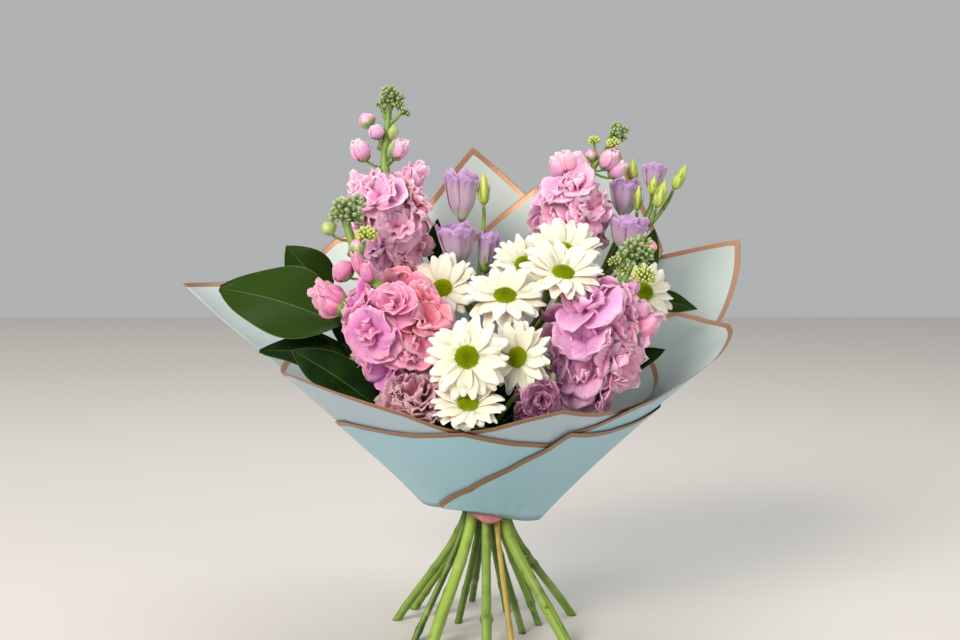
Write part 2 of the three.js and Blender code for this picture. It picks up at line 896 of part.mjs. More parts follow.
for (const [name, { colour = COLOURS.stem }] of Object.entries(STEMS)) {
  add(name, stemBody(name, seatsOf(name)), colour);
}
add('ribbon_tie', solid(tieRing()), COLOURS.ribbon);
for (const [name, sheet] of Object.entries(SHEETS)) {
  add(name, solid(filmSheet(sheet)), sheet.colour, { roughness: FILM_FINISH });
}
for (const [name, head] of Object.entries(HEADS)) {
  add(name, solid(facing(head.make(head), head.base, head.faces)), head.colour, { relieve: true });
}
for (const [name, { path, radii, colour }] of Object.entries(SPIKES)) {
  add(name, solid(swept(path, radii, SPIKE_SIDES, SPIKE_LOBES, SPIKE_TWIST)), colour, { relieve: true });
}
for (const [name, leaf] of Object.entries(LEAVES)) {
  add(name, solid(leafBlade(leaf)), COLOURS.leaf, { relieve: true, roughness: LEAF_FINISH });
}

const bounds = new THREE.Box3().setFromObject(bouquet);
const middle = bounds.getCenter(new THREE.Vector3());
bouquet.position.set(-middle.x, -middle.y, -bounds.min.z);

export default bouquet;
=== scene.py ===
import math

import bpy
import numpy as np
from mathutils import Matrix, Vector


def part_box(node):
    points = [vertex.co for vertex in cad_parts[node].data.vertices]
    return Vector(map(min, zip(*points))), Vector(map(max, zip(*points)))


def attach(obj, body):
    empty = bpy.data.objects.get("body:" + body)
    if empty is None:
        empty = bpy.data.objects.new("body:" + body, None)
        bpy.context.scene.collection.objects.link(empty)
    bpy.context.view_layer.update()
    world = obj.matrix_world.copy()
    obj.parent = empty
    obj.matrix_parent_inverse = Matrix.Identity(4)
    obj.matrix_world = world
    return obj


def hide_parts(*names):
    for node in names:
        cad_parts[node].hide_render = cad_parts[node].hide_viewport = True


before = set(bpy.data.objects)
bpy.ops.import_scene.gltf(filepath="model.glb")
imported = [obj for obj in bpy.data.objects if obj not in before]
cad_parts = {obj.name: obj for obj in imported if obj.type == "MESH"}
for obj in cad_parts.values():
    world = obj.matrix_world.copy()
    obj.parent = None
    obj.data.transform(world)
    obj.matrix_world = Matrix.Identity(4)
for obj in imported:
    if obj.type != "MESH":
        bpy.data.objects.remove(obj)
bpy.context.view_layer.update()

MM = 0.001
TAU = 2 * math.pi
GOLDEN = 2.39996                    # radians between one floret of a spiral and the next
UP = np.array([0.0, 0.0, 1.0])
SEAT_GAP = 0.35                     # a stalk stops this far short of its flower
SIDE_VEINS = 13                     # waves of side vein from end to end of a leaf

tie_low, tie_high = (np.array(corner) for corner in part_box("ribbon_tie"))
AXIS = (tie_low + tie_high) / 2 * [1, 1, 0]


def placed(points):
    """Millimetres from the bundle's axis, as metres in the frame."""
    return np.asarray(points, float) * MM + AXIS


# ---- surfaces
def unit(v):
    return v / np.maximum(np.linalg.norm(v, axis=-1, keepdims=True), 1e-9)


def basis(direction):
    """For each direction, two unit vectors square to it and the direction itself. The first is level."""
    up = unit(np.atleast_2d(np.asarray(direction, float)))
    steep = np.abs(up[:, 2:]) > 0.97
    across = unit(np.cross(np.where(steep, [[0.0, 1.0, 0.0]], UP), up))
    return across, np.cross(up, across), up


def axes(direction):
    """The same for one direction."""
    return (v[0] for v in basis(direction))


def spokes(turn, across, out):
    """Directions at these angles from across, towards out."""
    return np.outer(np.cos(turn), across) + np.outer(np.sin(turn), out)


def column(values, count):
    """A number, or one for each of count pieces, ready to spread over rows and columns."""
    return np.broadcast_to(np.asarray(values, float), (count,)).reshape(-1, 1, 1)


def grid_faces(rows, cols, closed):
    """Corner numbers and UVs of a grid's quads. A closed grid joins its last column to its first."""
    wide = cols if closed else cols - 1
    r, c = np.meshgrid(np.arange(rows - 1), np.arange(wide), indexing="ij")
    corners = [(r, c), (r, c + 1), (r + 1, c + 1), (r + 1, c)]
    faces = np.stack([a * cols + b % cols for a, b in corners], -1).reshape(-1, 4)
    uv = np.stack([np.stack([b / wide, a / (rows - 1)], -1) for a, b in corners], 2)
    return faces, uv.reshape(-1, 4, 2)


def repeated(faces, count, size):
    """The faces of one piece, for count pieces of size corners each."""
    return (faces[None] + np.arange(count)[:, None, None] * size).reshape(-1, faces.shape[-1])


def shells(points, thickness, tint, finish=0):
    """Thin closed leaves of tissue: each grid of points moved half its thickness along its normals to
    either side, and the two joined round the border. side is 1 in front and 0 behind."""
    n, rows, cols, _ = points.shape
    size = rows * cols
    normal = unit(np.cross(np.gradient(points, axis=2), np.gradient(points, axis=1)))
    both = np.stack([points + normal * thickness / 2, points - normal * thickness / 2], 1)
    faces, uv = grid_faces(rows, cols, False)
    number = np.arange(size).reshape(rows, cols)
    rim = np.concatenate([number[0], number[1:, -1], number[-1, -2::-1], number[-2:0:-1, 0]])
    after = np.roll(rim, -1)
    band = np.stack([rim, rim + size, after + size, after], -1)
    flat = np.stack([number % cols / (cols - 1), number // cols / (rows - 1)], -1).reshape(-1, 2)
    quads = np.concatenate([faces, faces[:, ::-1] + size, band])
    quad_uv = np.concatenate([uv, uv[:, ::-1], flat[band % size]])
    tone = np.broadcast_to(tint if np.ndim(tint) == 3 else column(tint, n), (n, rows, cols))
    return {
        "points": both.reshape(-1, 3),
        "tint": np.stack([tone, tone], 1).ravel(),
        "side": np.tile(np.repeat([1.0, 0.0], size), n),
        "quads": repeated(quads, n, 2 * size),
        "quad_uv": np.tile(quad_uv, (n, 1, 1)),
        "tris": np.zeros((0, 3), int),
        "tri_uv": np.zeros((0, 3, 2)),
        "finish": finish,
    }


def rings(points, first, last, tint, finish, end_side=1.0):
    """Closed round bodies: rings of points, with a pole at each end that closes them. side is 1 on the
    skin and end_side at the first pole."""
    n, rows, sides, _ = points.shape
    size = rows * sides + 2
    quads, quad_uv = grid_faces(rows, sides, True)
    k = np.arange(sides)
    after = (k + 1) % sides
    top = (rows - 1) * sides
    tris = np.concatenate([
        np.stack([np.full(sides, size - 2), after, k], -1),
        np.stack([np.full(sides, size - 1), top + k, top + after], -1),
    ])
    low, high = np.zeros(sides), np.ones(sides)
    fan = [np.stack([np.stack([u, v], -1) for u in (k / sides, (k + 1) / sides, k / sides)], 1)
           for v in (low, high)]
    poles = np.stack([first, last], 1).reshape(n, 2, 3)
    side = np.ones((n, size))
    side[:, size - 2] = end_side
    return {
        "points": np.concatenate([points.reshape(n, -1, 3), poles], 1).reshape(-1, 3),
        "tint": np.repeat(np.broadcast_to(np.asarray(tint, float), (n,)), size),
        "side": side.ravel(),
        "quads": repeated(quads, n, size),
        "quad_uv": np.tile(quad_uv, (n, 1, 1)),
        "tris": repeated(tris, n, size),
        "tri_uv": np.tile(np.concatenate(fan), (n, 1, 1)),
        "finish": finish,
    }


def piece(name, node, parts, materials):
    """One mesh of all the parts, which rides on the body and stands for its CAD node, if it has one."""
    start = np.cumsum([0] + [len(p["points"]) for p in parts])
    quads = np.concatenate([p["quads"] + s for p, s in zip(parts, start)])
    tris = np.concatenate([p["tris"] + s for p, s in zip(parts, start)])
    corners = np.concatenate([quads.ravel(), tris.ravel()]).astype(np.int32)
    begins = np.concatenate([np.arange(len(quads)) * 4, quads.size + np.arange(len(tris)) * 3])
    mesh = bpy.data.meshes.new(name)
    mesh.vertices.add(start[-1])
    mesh.vertices.foreach_set("co", placed(np.concatenate([p["points"] for p in parts])).ravel())
    mesh.loops.add(len(corners))
    mesh.loops.foreach_set("vertex_index", corners)
    mesh.polygons.add(len(begins))
    mesh.polygons.foreach_set("loop_start", begins.astype(np.int32))
    finish = [np.full(len(p[kind]), p["finish"]) for kind in ("quads", "tris") for p in parts]
    mesh.polygons.foreach_set("material_index", np.concatenate(finish).astype(np.int32))
    mesh.polygons.foreach_set("use_smooth", np.ones(len(begins), bool))
    layer = mesh.uv_layers.new(name="surface")
    uv = [p[kind].reshape(-1, 2) for kind in ("quad_uv", "tri_uv") for p in parts]
    layer.data.foreach_set("uv", np.concatenate(uv).astype(np.float32).ravel())
    for key in ("tint", "side"):
        attribute = mesh.attributes.new(key, "FLOAT", "POINT")
        attribute.data.foreach_set("value", np.concatenate([p[key] for p in parts]).astype(np.float32))
    mesh.update(calc_edges=True)
    mesh.validate()
    for material in materials:
        mesh.materials.append(material)
    made = bpy.data.objects.new(name, mesh)
    bpy.context.scene.collection.objects.link(made)
    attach(made, "root")
    if node:
        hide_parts(node)
    return made


def smooth_path(points, per):
    """The centripetal Catmull-Rom curve through the points, with `per` steps between each two."""
    p = np.asarray(points, float)
    p = np.vstack([2 * p[0] - p[1], p, 2 * p[-1] - p[-2]])
    gap = np.sqrt(np.linalg.norm(np.diff(p, axis=0), axis=1))[:, None]
    a, b, c, d = p[:-3], p[1:-2], p[2:-1], p[3:]
    ga, gb, gc = gap[:-2], gap[1:-1], gap[2:]
    leave = ((b - a) / ga - (c - a) / (ga + gb) + (c - b) / gb) * gb
    arrive = ((c - b) / gb - (d - b) / (gb + gc) + (d - c) / gc) * gb
    t = (np.arange(per) / per)[:, None, None]
    curve = b + leave * t + (3 * (c - b) - 2 * leave - arrive) * t**2
    curve = curve + (2 * (b - c) + leave + arrive) * t**3
    return np.vstack([curve.transpose(1, 0, 2).reshape(-1, 3), p[-2]])


def tubes(path, radii, sides, tint, finish=0, ridges=0.0, end_side=1.0):
    """Round stalks: circles square to each path, of the radius given at each of its points, with five
    faint ridges."""
    path = np.asarray(path, float)
    n = len(path)
    along = unit(np.gradient(path, axis=1))
    whole = np.abs(unit(path[:, -1] - path[:, 0]))
    reference = np.where(whole[:, 1:2] < 0.8, [[0.0, 1.0, 0.0]], [[1.0, 0.0, 0.0]])[:, None]
    across = unit(np.cross(np.broadcast_to(reference, along.shape), along))
    out = np.cross(along, across)
    angle = np.arange(sides) / sides * TAU
    radius = np.broadcast_to(radii, path.shape[:2])[..., None] * (1 + ridges * np.cos(5 * angle))
    circle = (across[:, :, None] * np.cos(angle)[:, None] + out[:, :, None] * np.sin(angle)[:, None])
    points = path[:, :, None] + circle * radius[..., None]
    return rings(points.reshape(n, -1, sides, 3), path[:, 0], path[:, -1], tint, finish, end_side)


def ovoids(base, axis, length, radius, tint, finish=0, *, rows, sides, lobes=0.0, flutes=3, twist=2.0,
           belly=0.8):
    """Buds: r = radius sin(pi s^belly)^0.7 up the axis, with flutes that wind round as they rise."""
    base = np.atleast_2d(np.asarray(base, float))
    n = len(base)
    across, out, up = (np.broadcast_to(v, base.shape)[:, None, None] for v in basis(axis))
    s = np.linspace(0.05, 0.96, rows)[None, :, None]
    angle = (np.arange(sides) / sides * TAU)[None, None]
    r = column(radius, n) * np.sin(np.pi * s**belly) ** 0.7
    r = (r * (1 + column(lobes, n) * np.cos(flutes * angle + twist * TAU / 4 * s)))[..., None]
    height = (column(length, n) * s)[..., None]
    start = base[:, None, None]
    points = start + up * height + r * (across * np.cos(angle)[..., None] + out * np.sin(angle)[..., None])
    tip = base + up[:, 0, 0] * column(length, n)[:, :, 0]
    return rings(points, base, tip, tint, finish)


WIDEST = 0.66                       # share of a petal's length at which it is widest


def petals(base, along, face, length, width, rise, curl, *, tip, claw, cols, rows=7, cup=0.2, ruffle=0.0,
           waves=2.0, phase=0.0, notch=0.0, groove=0.0):
    """Grids of petals. s runs from base to tip and x from edge to edge. The midline leaves the base at
    the angle rise above the flower's plane and bends by curl; the width opens from the claw to its
    widest at two thirds and rounds off; the edges lift by cup and by two waves that grow with s."""
    n = len(base)
    length, width, rise, curl, tip, claw, cup, ruffle, waves, phase, notch, groove = (
        column(v, n) for v in (length, width, rise, curl, tip, claw, cup, ruffle, waves, phase, notch, groove))
    spread = lambda v: np.broadcast_to(v, (n, 3))[:, None, None]
    s = np.linspace(0, 1, rows)[None, :, None]
    x = np.linspace(-1, 1, cols)[None, None, :]
    pitch = rise + curl * s
    mid = (pitch[:, 1:] + pitch[:, :-1]) / 2
    step = length / (rows - 1)
    zero = np.zeros((n, 1, 1))
    run = np.concatenate([zero, np.cumsum(np.cos(mid) * step, 1)], 1)
    climb = np.concatenate([zero, np.cumsum(np.sin(mid) * step, 1)], 1)
    opening = claw + (1 - claw) * np.sin(np.pi / 2 * np.minimum(s / WIDEST, 1))
    half = width / 2 * opening * (1 - 0.4 * np.clip((s - WIDEST) / (1 - WIDEST), 0, 1) ** 2)
    short = length * (tip * np.abs(x) ** 2.4 * s**2 + notch * np.exp(-(x / 0.22) ** 2) * s**6)
    turn = np.pi * waves * x + phase
    wave = ruffle * (s**1.5 * np.sin(turn + 2.6 * s) + 0.45 * s * np.sin(2.3 * turn - 1.9 * s))
    lift = cup * half * x * x + wave * (0.35 + 0.65 * np.abs(x)) + groove * np.cos(3 * np.pi * x) * s
    forward = run - short * np.cos(pitch) - lift * np.sin(pitch)
    above = climb - short * np.sin(pitch) + lift * np.cos(pitch)
    return (spread(base) + spread(np.cross(along, face)) * (x * half)[..., None]
            + spread(along) * forward[..., None] + spread(face) * above[..., None])


def whorls(centre, axis, size, rounds, rng, loose=0.34):
    """Rounds of petals about each flower's axis. Each round gives its count and then, as shares of the
    flower's size, its length and width, and its rise, curl, ruffle and the height that it starts at.
    loose is how far, in radians, a petal may lie from its even place."""
    across, out, up = basis(axis)
    size = np.broadcast_to(np.asarray(size, float), (len(centre),))
    made = []
    for count, length, width, rise, curl, ruffle, height in rounds:
        flower = np.repeat(np.arange(len(centre)), count)
        n = len(flower)
        turn = np.tile(np.arange(count) / count * TAU, len(centre))
        turn = turn + np.repeat(rng.uniform(0, TAU, len(centre)), count) + rng.normal(0, loose, n)
        along = across[flower] * np.cos(turn)[:, None] + out[flower] * np.sin(turn)[:, None]
        big = size[flower]
        made.append(petals(
            centre[flower] + up[flower] * (height * big)[:, None], along, up[flower],
            length * big * rng.uniform(0.8, 1.1, n), width * big * rng.uniform(0.85, 1.15, n),
            rise + rng.normal(0, loose * 0.8, n), curl + rng.normal(0, loose * 1.3, n),
            cup=rng.uniform(-0.2, 0.4, n), ruffle=ruffle * big * rng.uniform(0.5, 1.4, n),
            waves=rng.uniform(1.0, 2.4, n), phase=rng.uniform(0, TAU, n),
            tip=0.16, claw=0.35, notch=0.05, cols=11))
    return np.concatenate(made), np.concatenate([np.repeat(np.arange(len(centre)), r[0]) for r in rounds])


# ---- materials
def colour(code):
    """An sRGB hex value as linear light."""
    parts = np.array([int(code[i:i + 2], 16) for i in (0, 2, 4)]) / 255
    linear = np.where(parts <= 0.04045, parts / 12.92, ((parts + 0.055) / 1.055) ** 2.4)
    return (*linear.tolist(), 1.0)


class Look:
    """A material in the making: its surface shader and what its look can depend on, which is the UVs
    whole and split, the two attributes and the Object coordinates."""

    def __init__(self, name):
        self.material = bpy.data.materials.new(name)
        self.material.use_nodes = True
        self.tree = self.material.node_tree
        self.tree.nodes.clear()
        self.surface = self.put("BsdfPrincipled")
        self.put("OutputMaterial", {"Surface": self.surface})
        self.uv = self.put("UVMap", uv_map="surface")
        self.u, self.v, _ = self.put("SeparateXYZ", {0: self.uv}).node.outputs
        self.tint = self.put("Attribute", out="Fac", attribute_name="tint")
        self.side = self.put("Attribute", out="Fac", attribute_name="side")
        self.place = self.put("TexCoord", out="Object")

    def put(self, kind, inputs=None, out=0, **settings):
        """Adds a node, with its settings and its inputs either set or linked, and gives one output."""
        made = self.tree.nodes.new("ShaderNode" + kind)
        for key, value in settings.items():
            setattr(made, key, value)
        for key, value in (inputs or {}).items():
            if isinstance(value, bpy.types.NodeSocket):
                self.tree.links.new(value, made.inputs[key])
            else:
                made.inputs[key].default_value = value
        return made.outputs[out] if len(made.outputs) else None

    def cloudy(self, scale, detail):
        """Noise in space, in cells of 1 / scale metres."""
        return self.put("TexNoise", {"Vector": self.place, "Scale": scale, "Detail": detail})

    def streaks(self, across, along, detail=3.0):
        """Noise drawn out along the surface: `across` cells from edge to edge and `along` end to end."""
        stretched = self.put("Mapping", {"Vector": self.uv, "Scale": (across, along, 1)})
        return self.put("TexNoise", {"Vector": stretched, "Scale": 1.0, "Detail": detail})

    def layered(self, base, *layers):
        """Lays colours over the base. A layer is a value, where it begins to show, where it is full and
        how far it then covers, if not wholly, and its colour. A value alone is the amount itself."""
        base = colour(base) if isinstance(base, str) else base
        for value, *limits, tone in layers:
            if limits:
                spans = dict(zip(("From Min", "From Max", "To Max"), limits))
                value = self.put("MapRange", {"Value": value, **spans}, interpolation_type="SMOOTHSTEP")
            tone = colour(tone) if isinstance(tone, str) else tone
            base = self.put("Mix", {0: value, 6: base, 7: tone}, 2, data_type="RGBA")
        return base

    def dappled(self, base, cloud, low, high):
        """The base, darker or lighter by a share from low to high."""
        shade = self.put("MapRange", {"Value": cloud, "To Min": low, "To Max": high})
        return self.put("VectorMath", {0: base, 1: shade}, operation="MULTIPLY")

    def finished(self, base, roughness, height, strength, distance, **constants):
        """Links the colour and relief, sets the rest on the shader's own sockets, and gives the material."""
        bump = self.put("Bump", {"Height": height, "Strength": strength, "Distance": distance * MM})
        sockets = self.surface.node.inputs
        self.tree.links.new(base, sockets["Base Color"])
        self.tree.links.new(bump, sockets["Normal"])
        for key, value in {"Roughness": roughness, **constants}.items():
            sockets[key.replace("_", " ")].default_value = value
        return self.material


def petal_material(name, cool, warm, throat, edge, veins=20, veining=0.4):
    """Fresh petal tissue: soft, thin and slightly see-through, so it glows at its edges. Colour runs from
    the throat to a paler edge, with fine veins along it about a millimetre apart."""
    look = Look(name)
    vein = look.streaks(veins, 1.4)
    base = look.layered(cool, (look.tint, warm), (look.v, 0.45, 0.0, throat), (look.v, 0.6, 1.05, edge),
                        (vein, 0.42, 0.8, veining, throat))
    base = look.dappled(base, look.cloudy(90.0, 2.0), 0.9, 1.06)
    return look.finished(base, 0.55, vein, 0.35, 0.25, Subsurface_Weight=0.5,
                         Subsurface_Radius=(0.006, 0.003, 0.003), Subsurface_Scale=1.0, Sheen_Weight=0.25,
                         Sheen_Roughness=0.5, Specular_IOR_Level=0.3)


def green_material(name, dark, light, cut, roughness=0.5, streak=13, coat=0.0, shine=0.4, bloom="b4c090"):
    """Living stem and sepal: waxy skin with long fibres, darker patches, a pale waxy bloom in places,
    a few brown specks, and paler where it is cut."""
    look = Look(name)
    fibre = look.streaks(streak, 3.0, 4.0)
    base = look.layered(dark, (look.tint, light), (fibre, 0.4, 0.8, light), (fibre, 0.42, 0.24, dark),
                        (look.cloudy(60.0, 3.0), 0.5, 0.8, dark), (look.cloudy(34.0, 4.0), 0.56, 0.9, bloom),
                        (look.cloudy(520.0, 1.0), 0.72, 0.8, "4a3a1c"), (look.side, 0.7, 0.3, cut))
    return look.finished(base, roughness, fibre, 0.5, 0.3, Coat_Weight=coat, Coat_Roughness=0.3,
                         Specular_IOR_Level=shine, Subsurface_Weight=0.08,
                         Subsurface_Radius=(0.001, 0.002, 0.0006), Subsurface_Scale=1.0)


def bud_material(name, green, young, petal, tip):
    """A closed bud: green sepals round the lower part, petal colour above them as far as it has
    coloured. tint says how far, and -1 is a young yellow-green bud."""
    look = Look(name)
    fold = look.streaks(7, 1.0)
    level = look.put("Math", {0: look.v, 1: look.tint}, operation="ADD")
    shown = look.layered(petal, (fold, 0.3, 0.75, "f3c3dc"))
    # Along the fold streaks the green gives way to tip, a paler green. For the stock buds this is painted
    # highlight on the ridges.
    base = look.layered(green, (look.tint, -0.4, -0.9, young), (fold, 0.35, 0.8, tip),
                        (level, 0.95, 1.25, shown))
    return look.finished(base, 0.5, fold, 0.5, 0.3, Subsurface_Weight=0.15,
                         Subsurface_Radius=(0.002, 0.002, 0.001), Subsurface_Scale=1.0)


def leaf_material():
    """Leathery evergreen leaf: thick dark skin with a low shine, a paler midrib and margin, side veins
    about 6 mm apart, and a duller underside. tint is how light and yellow the green is: partly the leaf's
    own tone and partly painted light and shade, light for a lit leaf and near black for one in shade."""
    look = Look("evergreen_leaf_waxy")
    patch = look.cloudy(55.0, 4.0)
    away = look.u
    for operation, second in (("SUBTRACT", 0.5), ("ABSOLUTE", 0.0)):
        away = look.put("Math", {0: away, 1: second}, operation=operation)
    vein = look.put("Math", {0: away, 1: -0.35, 2: look.v}, operation="MULTIPLY_ADD")
    for operation, second in (("MULTIPLY", TAU * SIDE_VEINS), ("SINE", 0.0), ("ABSOLUTE", 0.0)):
        vein = look.put("Math", {0: vein, 1: second}, operation=operation)
    line = look.put("MapRange", {"Value": vein, "From Min": 0.16, "From Max": 0.0},
                    interpolation_type="SMOOTHSTEP")
    # Painted shade and light: the near-black green at tint 0 is a leaf in shade, and the lighter green towards
    # tint 1 is a lit one.
    base = look.layered("081c04", (patch, 0.3, 0.75, "142e06"), (look.tint, "27400a"),
                        (vein, 0.16, 0.0, 0.16, "2f5014"), (away, 0.012, 0.003, "46682a"),
                        (away, 0.488, 0.499, "56743a"), (look.side, 0.6, 0.4, "4a6b3c"))
    relief = look.put("Math", {0: line, 1: -0.6, 2: patch}, operation="MULTIPLY_ADD")
    return look.finished(base, 0.38, relief, 0.25, 0.3, Specular_IOR_Level=0.08)


COPPER_BAND = 5.0                   # width of the printed metallic border, mm
BAND_EDGE = 0.15                    # over which it fades out to either side of its edge


def film_material(name, outer, inner):
    """Florist film of matte polypropylene with a hot-stamped copper border: smooth, cool and even, a
    slight haze in its gloss, and a border that shines. tint is the distance from the rim in mm."""
    look = Look(name)
    grain = look.cloudy(900.0, 1.0)
    band = (look.tint, COPPER_BAND + BAND_EDGE, COPPER_BAND - BAND_EDGE)
    # The inner face (side 0) is greyer than the outer. This is partly the film's own tone and partly painted
    # shade for the inside of the wrap.
    base = look.dappled(look.layered(inner, (look.side, outer)), look.cloudy(12.0, 2.0), 0.93, 1.05)
    copper = look.layered("8f6b56", (grain, "aa8468"))
    made = look.finished(look.layered(base, (*band, copper)), 0.42, grain, 0.06, 0.05, Specular_IOR_Level=0.4)
    metal = look.put("MapRange", {"Value": band[0], "From Min": band[1], "From Max": band[2], "To Max": 0.55},
                     interpolation_type="SMOOTHSTEP")
    look.tree.links.new(metal, look.surface.node.inputs["Metallic"])
    return made


def ribbon_material():
    """Satin ribbon: polyester floats across the weave, drawn at 0.5 mm so that they show. Their lighter
    stripes are painted sheen, and both pinks are darkened with painted shade, for the ribbon lies in shade
    under the film.
    """
    look = Look("satin_ribbon")
    across = look.put("Mapping", {"Vector": look.uv, "Scale": (1, 22, 1)})
    thread_and_sheen = look.put("TexWave", {"Vector": across, "Scale": 1.0, "Distortion": 0.4}, "Fac",
                      bands_direction="Y")
    # Painted: the lighter thread colour is the satin's sheen, and both pinks are darkened for the shade that
    # the ribbon lies in.
    base = look.layered("8a4b56", (thread_and_sheen, "b4747d"))
    return look.finished(base, 0.4, thread_and_sheen, 0.3, 0.1, Sheen_Weight=0.4, Sheen_Roughness=0.35)


STOCK_PINK = petal_material("stock_petal_pink", "f2a6de", "ffaec4", "d65ba3", "fdd0e8")
STOCK_SALMON = petal_material("stock_petal_salmon", "e084cf", "f68498", "c03070", "f6a6c2")
STOCK_LILAC = petal_material("stock_petal_lilac", "e898d2", "f59abc", "bc4f94", "f4badc")
STOCK_DEEP = petal_material("stock_petal_deep", "884270", "9c5074", "54203e", "b47c9c")
CARNATION_PETAL = petal_material("carnation_petal", "aa5f7c", "cb8898", "5f2840", "e0aeba")
DAISY_PETAL = petal_material("daisy_ray_petal", "fbf0de", "f5e7ce", "e2deb0", "fdf6ea", veins=10,
                             veining=0.12)
LISIANTHUS_PETAL = petal_material("lisianthus_petal", "c7a0c9", "d2a9c1", "d2d2ae", "a67dbc", veins=9,
                                  veining=0.12)
# The stock bud's last colour, the pale green along its folds, is painted highlight.
STOCK_BUD = bud_material("stock_bud", "6f8c56", "bccb4c", "e0649e", "bccb96")
LISIANTHUS_BUD = bud_material("lisianthus_bud", "8fa63c", "b4c63e", "c9cd62", "d8dc7a")
STEM = green_material("cut_stem_green", "36521c", "86a43e", "dbe2b4", bloom="9db268")
DRY_STEM = green_material("cut_stem_ochre", "7a6a2c", "b09a48", "d9cfa0", bloom="bfae78")
SEPAL = green_material("sepal_green", "39571f", "7f9f48", "7f9f48", coat=0.1)
DISC = green_material("daisy_disc", "486404", "8fa000", "8fa000", roughness=0.85, streak=3, shine=0.08,
                      bloom="8fa000")
LEAF = leaf_material()
# The inner colours, greyer than the outer, are partly painted shade for the inside of the wrap.
FILM_AQUA = film_material("film_aqua_matte", "97bdcd", "abb9b8")
FILM_PALE = film_material("film_pale_matte", "a6b9c6", "b9c7c8")
RIBBON = ribbon_material()

# ---- flower heads
# base on the stalk, the way it faces, radius, how far the rays droop, how far they rise, and the stem
DAISIES = {
    "daisy_1": ((-32, -11, 269), (-0.2, -0.78, 0.6), 30, 2, 0.3, "daisy_stem_left"),
    "daisy_2": ((14, -52, 263), (0, -0.57, 0.82), 31, 3, 0.22, "daisy_stem_front"),
    "daisy_3": ((-14, -95, 228), (-0.05, -0.95, 0.31), 31, 4, 0.12, "daisy_stem_front"),
    "daisy_4": ((29, -76, 226), (-0.5, -0.82, 0.28), 28, 3, 0.16, "daisy_stem_front"),
    "daisy_5": ((-13, -103, 187), (-0.05, -0.5, 0.86), 27, 3, 0.2, "daisy_stem_front"),
    "daisy_6": ((56.5, -51, 280), (0.1, -0.5, 0.86), 32, 3, 0.34, "daisy_stem_right"),
    "daisy_7": ((60.5, -13, 297), (-0.05, -0.72, 0.69), 31, 2, 0.3, "daisy_stem_right"),
    "daisy_8": ((31, -13, 287), (-0.1, -0.72, 0.69), 27, 2, 0.3, "daisy_stem_right"),
    "daisy_9": ((121.5, 7, 266.5), (0.35, -0.78, 0.52), 28, 4, 0.2, "daisy_stem_side"),
}
# base, faces, height, width, stem
BELLS = {
    "lisianthus_1": ((-20, 28, 328), (0, 0, 1), 41, 26, "lisianthus_stem_left"),
    "lisianthus_2": ((-22, 8, 291), (-0.1, -0.1, 1), 35, 28, "lisianthus_stem_left"),
    "lisianthus_3": ((-1, 14, 286), (0.1, 0, 1), 33, 16, "lisianthus_stem_left"),
    "lisianthus_4": ((114, 44, 331), (0.05, 0, 1), 31, 24, "lisianthus_stem_right"),
    "lisianthus_5": ((137, 42, 353), (0.1, 0, 1), 22, 19, "lisianthus_stem_right"),
    "lisianthus_6": ((112, 10, 303), (0.12, -0.1, 1), 30, 29, "lisianthus_stem_right"),
}
BUDS = {
    "lisianthus_bud_1": ((-2, 24, 341), (0, 0, 1), 27, 9, "lisianthus_stem_left"),
    "lisianthus_bud_2": ((121, 44, 361), (0, 0, 1), 19, 9, "lisianthus_stem_right"),
    "lisianthus_bud_3": ((153.5, 32, 354), (0.45, 0, 0.9), 23, 9, "lisianthus_stem_right"),
    "lisianthus_bud_4": ((138, 22, 339), (0.32, 0, 0.95), 24, 10, "lisianthus_stem_right"),
    "lisianthus_bud_5": ((124, 34, 336.5), (0.08, 0, 1), 22, 6.5, "lisianthus_stem_right"),
    "lisianthus_bud_6": ((135.5, 28, 349), (0.12, 0, 1), 16, 7.5, "lisianthus_stem_right"),
}
# base, faces, radius, stem
CARNATIONS = {"carnation": ((-49, -62, 182), (-0.12, -0.72, 0.68), 29, "carnation_stem")}

